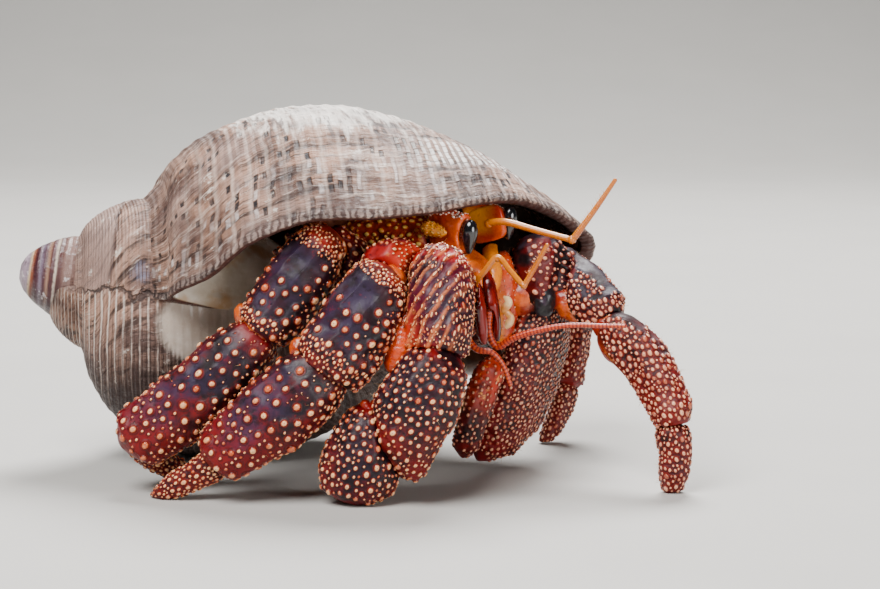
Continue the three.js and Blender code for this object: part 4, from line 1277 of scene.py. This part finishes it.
# Each feeler: its path, its radius at the root and at the tip, its finish, and whether it is
# the ringed end of an inner feeler.
FEELERS = {
    "right_antennule": (
        [(12.35, -10.75, 19.4), (13.65, -11.95, 21.1), (14.95, -12.35, 22.6), (16.05, -12.85, 21.5),
         (17.35, -13.35, 20)], 0.3, 0.27, amber, 0,
    ),
    "right_antennule_whip": (
        [(17.5, -13.4, 20), (18.65, -13.65, 22), (19.75, -13.85, 24.1)], 0.27, 0.2, amber, 1,
    ),
    "left_antennule": (
        [(14.05, -8.05, 25.5), (15.85, -9.25, 25.7), (18.85, -10.75, 25), (22, -12.4, 24.3)],
        0.36, 0.3, amber, 0,
    ),
    "left_antennule_whip": (
        [(22.2, -12.4, 24.35), (24.25, -12.65, 27.2), (26.25, -12.85, 30.2)], 0.34, 0.2, amber, 1,
    ),
    "right_antenna": (
        [(11.35, -12.75, 18.4), (11.95, -13.55, 15.4), (12.95, -14.05, 13.95), (14.35, -14.35, 13.7),
         (15.45, -14.35, 12.5), (16.25, -14.35, 10.4)], 0.42, 0.22, ringed, 0,
    ),
    "left_antenna": (
        [(14.45, -9.95, 18), (14.15, -10.95, 15.4), (14.95, -11.35, 13.8), (16.45, -12.05, 14.7),
         (18.55, -12.85, 15.5), (20.95, -13.65, 16.1), (23.05, -14.35, 16.3), (24.65, -14.75, 16.3),
         (27.2, -15.35, 16.35)], 0.41, 0.2, ringed, 0,
    ),
}
for name, (path, thick, thin, finish, whip) in FEELERS.items():
    length = smooth_path(path, 50)[2]
    pitch, ripple = (RING, 0.07) if finish is ringed else (FINE_RING, 0.05 * whip)
    count = max(40, int(length / pitch * 7)) if ripple else 60
    widths = [(0, thick), (1, thin)]
    feeler = tube(name + "_rings", path, widths, sides=14, count=count, ripple=ripple, pitch=pitch)
    set_marks(feeler, whip=whip)
    place_piece(feeler, finish, "yellow_armour" if finish is amber else "orange_armour", name)

# A knuckle at each bend of the inner pair, and the comb of fine hairs on their whips.
for name, spot, size in [
    ("left_knuckle", (22.1, -12.4, 24.3), 0.42), ("right_knuckle", (17.45, -13.38, 20), 0.36),
    ("right_bend", (14.95, -12.3, 22.45), 0.33), ("left_root", (14.2, -8.1, 25.45), 0.44),
]:
    knuckle = pad(name, spot, (size, size, size), (0, 0, 0), amber, 0.02)
    set_marks(knuckle, reach=0, whip=0, around=0)


def hairs(name, roots, directions, lengths, thick, places):
    """Fine tapering hairs, three-sided, joined in one piece. places are their roots, 0 to 1."""
    rng = np.random.default_rng(len(roots))
    points, faces = [], []
    for root, direction, length in zip(roots, directions, lengths):
        direction = direction / np.linalg.norm(direction)
        bend = rng.normal(0, 0.18, 3)
        side = np.cross(direction, (0.3, 0.5, 0.8))
        side /= np.linalg.norm(side)
        other = np.cross(direction, side)
        start = len(points)
        for share, width in ((0, 1), (0.5, 0.7)):
            middle = root + length * (share * direction + share**2 * bend)
            for turn in (0, 2.1, 4.2):
                points.append(middle + thick * width * (math.cos(turn) * side + math.sin(turn) * other))
        points.append(root + length * (direction + bend))
        for j in range(3):
            k = (j + 1) % 3
            faces.append((start + j, start + k, start + 3 + k, start + 3 + j))
            faces.append((start + 3 + j, start + 3 + k, start + 6))
        faces.append((start + 2, start + 1, start))
    piece = new_piece(name, np.array(points), faces)
    patch = [BAKE_PATCH * math.cos(0.9 * i) * (1 - 0.1 * i) for i in range(7)]
    set_bake_places(piece, (np.array(places)[:, None] + np.stack([patch, patch[::-1]], 1)).reshape(-1, 2))
    return piece


comb_roots, comb_ways = [], []
for name in ("left_antennule_whip", "right_antennule_whip"):
    line, heading, _ = smooth_path(FEELERS[name][0], 40)
    for spot, way in zip(line[8:30], heading[8:30]):
        down = np.cross(way, (0, 1, 0))
        comb_roots.append(spot * MM)
        comb_ways.append(down / np.linalg.norm(down) + 0.5 * way)
comb = hairs(
    "antennule_combs", comb_roots, comb_ways, [0.62 * MM] * len(comb_roots), 0.035 * MM,
    [(0.02 + 0.96 * i / len(comb_roots), 0.5) for i in range(len(comb_roots))],
)
place_piece(comb, amber, "yellow_armour")
set_marks(comb, reach=0, whip=0, around=0)


# ------------------------------------------------------------------ face, mouth and body
# Under the eyes are the orange bases and scales of the feelers, and the two smooth dark
# red feeding limbs that hang over the mouth. Behind are the granular shield, the small rear legs that hold
# the shell, and the soft belly in it.

orange_grain = pearl_finish(
    "orange_grain", (160, 48, 2), (226, 130, 26), (250, 200, 100), (250, 206, 130),
)
for side, seed in [("right", 11), ("left", 12)]:
    base_skin = rounded(f"{side}_antenna_base_skin", [f"{side}_antenna_base"], grid=0.12, melt=16)
    # Painted light lifts the feeler base towards bright yellow.
    set_marks(base_skin, warmth=0.0, glow=0.5)
    place_piece(base_skin, orange_chitin, "orange_armour")
    scale = rounded(f"{side}_antenna_scale_skin", [f"{side}_antenna_scale"], grid=0.1, melt=12)
    # The scale, which lies in the shell's shadow, is lifted further with painted light.
    set_marks(scale, warmth=0.0, glow=0.85)
    place_piece(scale, orange_chitin, "yellow_armour")
    low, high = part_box(f"{side}_antenna_scale")
    lie = Lie(Vector((low.x, high.y, high.z)), Vector((high.x, low.y, low.z)), (0, -0.5, 1))
    seats = scatter(scale, lie, [(lambda t, f: 1 + 0 * t, 0.09, 0.15, 1.15, 1.6)], seed)
    granules(f"{side}_antenna_scale_grains", [(seats, lie)], orange_grain, "yellow_armour")

# A flat lobe under the far eye: redder along its top, with a painted highlight towards its left end.
brow = pad("brow", (14.0, -5.95, 25.2), (2.1, 0.42, 1.75), (0, -0.25, HEADING), orange_chitin, 0.04, square=4)
co = point_array(brow) / MM
set_marks(
    brow, warmth=0.8 * np.clip((co[:, 2] - 25.7) / 0.5, 0, 1),
    glow=0.95 * np.clip((14.9 - co[:, 0]) / 1.6, 0, 1) * np.clip((co[:, 2] - 24.0) / 0.8, 0, 1),
)
mouth = rounded("mouth_skin", ["mouth"], grid=0.16, melt=20)
# The mouth parts are lifted a little with painted light.
set_marks(mouth, warmth=0.15, glow=0.15)
place_piece(mouth, orange_chitin, "orange_armour")

red_gloss = Finish("red_gloss", {"Coat Weight": 0.35, "Coat Roughness": 0.1, "Specular IOR Level": 0.35})
spot = red_gloss.place()
streaks = red_gloss.grain(red_gloss.join(*red_gloss.axes(spot)[:2], 0.0), 900, 3)
red_gloss.feed("Base Color", red_gloss.mix(streaks.step(0.4, 0.62), (50, 0, 3), (124, 12, 2)))
red_gloss.feed("Roughness", streaks.step(0.3, 0.7, 0.18, 0.3))
red_gloss.bump(streaks, 0.1 * MM, 0.4)
for side in ("right", "left"):
    limb_skin = rounded(f"{side}_mouth_limb_skin", [f"{side}_mouth_limb"], grid=0.12, melt=20)
    place_piece(limb_skin, red_gloss, "red_armour")

# The shield, the chest and the small rear legs: where each starts and ends, the way its
# outer face looks, its finish and that of its granules.
for seed, (node, start, end, outward, finish, pearl) in enumerate([
    ("shield", (11, -6.8, 23.4), (1, -0.5, 24), (0, 0, 1), PURPLE, orange_grain),
    ("chest", (12.4, -7.4, 17.6), (2, -1, 18.6), (0, -1, 0), PURPLE, cream_pearl),
    ("right_leg4", (1.8, -4.8, 17.4), (-6, -8.8, 20.8), (0, -1, 0), RED, cream_pearl),
    ("right_leg5", (0, -2.8, 19), (-7.2, -4.8, 22.6), (0, -1, 0), RED, cream_pearl),
    ("left_leg4", (3.4, 2, 16.8), (-4, 0.8, 21), (0, -1, 0), RED, cream_pearl),
    ("left_leg5", (0.9, 1.7, 19.6), (-6.2, -0.4, 23.6), (0, -1, 0), RED, cream_pearl),
], 21):
    lie = Lie(Vector(start) * MM, Vector(end) * MM, outward)
    skin = rounded(f"{node}_skin", [node], grid=0.22, melt=24)
    t, _ = lie.measure(point_array(skin))
    seats = scatter(skin, lie, BEDS["merus"], seed)
    set_halo(skin, seats)
    hot, warmth = (0.8, 0.6) if node == "shield" else (0.0, 0.35)
    set_marks(skin, along=t, ridge=0, smooth=0, hot=hot, warmth=warmth)
    place_piece(skin, finish, "red_armour" if finish is RED else "purple_armour")
    granules(f"{node}_granules", [(seats, lie)], pearl, "purple_armour")

# The soft back and belly, with the tail fan, are one skin that winds up into the shell.
flesh = soft_finish("belly_skin", (120, 48, 30), (200, 128, 96))
SOFT_NODES = ["back", "belly_front", "belly_rear", "tail_fan"]
belly = rounded("belly_skin", SOFT_NODES, grid=0.45, melt=12, join=0.35)
place_piece(belly, flesh, "soft_body")

# The left claw's arm shows its smooth orange inner side, with a painted highlight running
# down it, a cream hinge knob, and the claw carries a bare black boss above its palm.
arm = bpy.data.objects["left_claw_merus_skin"]
co = point_array(arm) / MM
set_marks(arm, glow=0.5 * np.exp(-((co[:, 0] - 15.3) / 0.5) ** 2) * np.clip((20.5 - co[:, 2]) / 4, 0, 1))
paint(arm, orange_chitin)
ivory = soft_finish("ivory_knob", (214, 130, 40), (244, 206, 150), 0.2)
hinge = tube(
    "hinge_knob",
    [(15.5, -6.6, 18.3), (16.2, -6.7, 17.6), (15.8, -6.7, 16.8), (16.4, -6.6, 15.9), (15.6, -6.5, 14.8)],
    [(0, 0.3), (0.35, 0.45), (0.6, 0.35), (0.8, 0.5), (1, 0.25)], up=(0, 1, 0), flat=0.7,
)
place_piece(hinge, ivory, "soft_body")
boss_finish = Finish("black_boss", {"Coat Weight": 0.35, "Coat Roughness": 0.2, "Specular IOR Level": 0.3})
mottle = boss_finish.grain(boss_finish.place(), 900, 3)
boss_finish.feed("Base Color", boss_finish.mix(mottle.step(0.5, 0.7), (8, 4, 9), (44, 26, 42)))
boss_finish.bump(mottle, 0.15 * MM, 0.6)
boss = pad("claw_boss", (19.8, -6.45, 17.6), (1.1, 0.75, 1.55), (0, 0.15, 0.3), boss_finish, 0.2)


# ------------------------------------------------------------------ bristles
# Short golden bristles stand between the granules of the claws and the walking legs.

bristle = Finish("bristle", {"Roughness": 0.4})
shade = bristle.grain(bristle.place(), 600)
bristle.feed("Base Color", bristle.mix(shade.step(0.3, 0.7), (120, 70, 26), (214, 176, 120)))
rng = np.random.default_rng(77)
roots, ways, lengths, places = [], [], [], []
for order, (limb, share) in enumerate([
    ("right_claw", 0.3), ("left_claw", 0.25), ("left_leg2", 0.5), ("right_leg2", 0.25),
    ("right_leg3", 0.25), ("left_leg3", 0.25),
]):
    seats = limb_seats[limb]
    for seat in seats[rng.random(len(seats)) < share * (0.4 + np.abs(seats[:, AROUND]))]:
        top = seat[3:6]
        side = np.cross(top, rng.normal(0, 1, 3))
        root = seat[:3] + seat[RADIUS] * 1.15 * side / np.linalg.norm(side)
        roots.append(root - 0.1 * MM * top)
        ways.append(top + 0.5 * rng.normal(0, 1, 3))
        lengths.append(rng.uniform(0.35, 0.85) * MM)
        places.append((0.01 + (order + 0.95 * seat[ALONG]) / 6.1, 0.5 + 0.48 * seat[AROUND]))
tufts = hairs("bristles", roots, ways, lengths, 0.022 * MM, places)
move_points(tufts, kept_in(point_array(tufts)))
place_piece(tufts, bristle, "purple_armour")
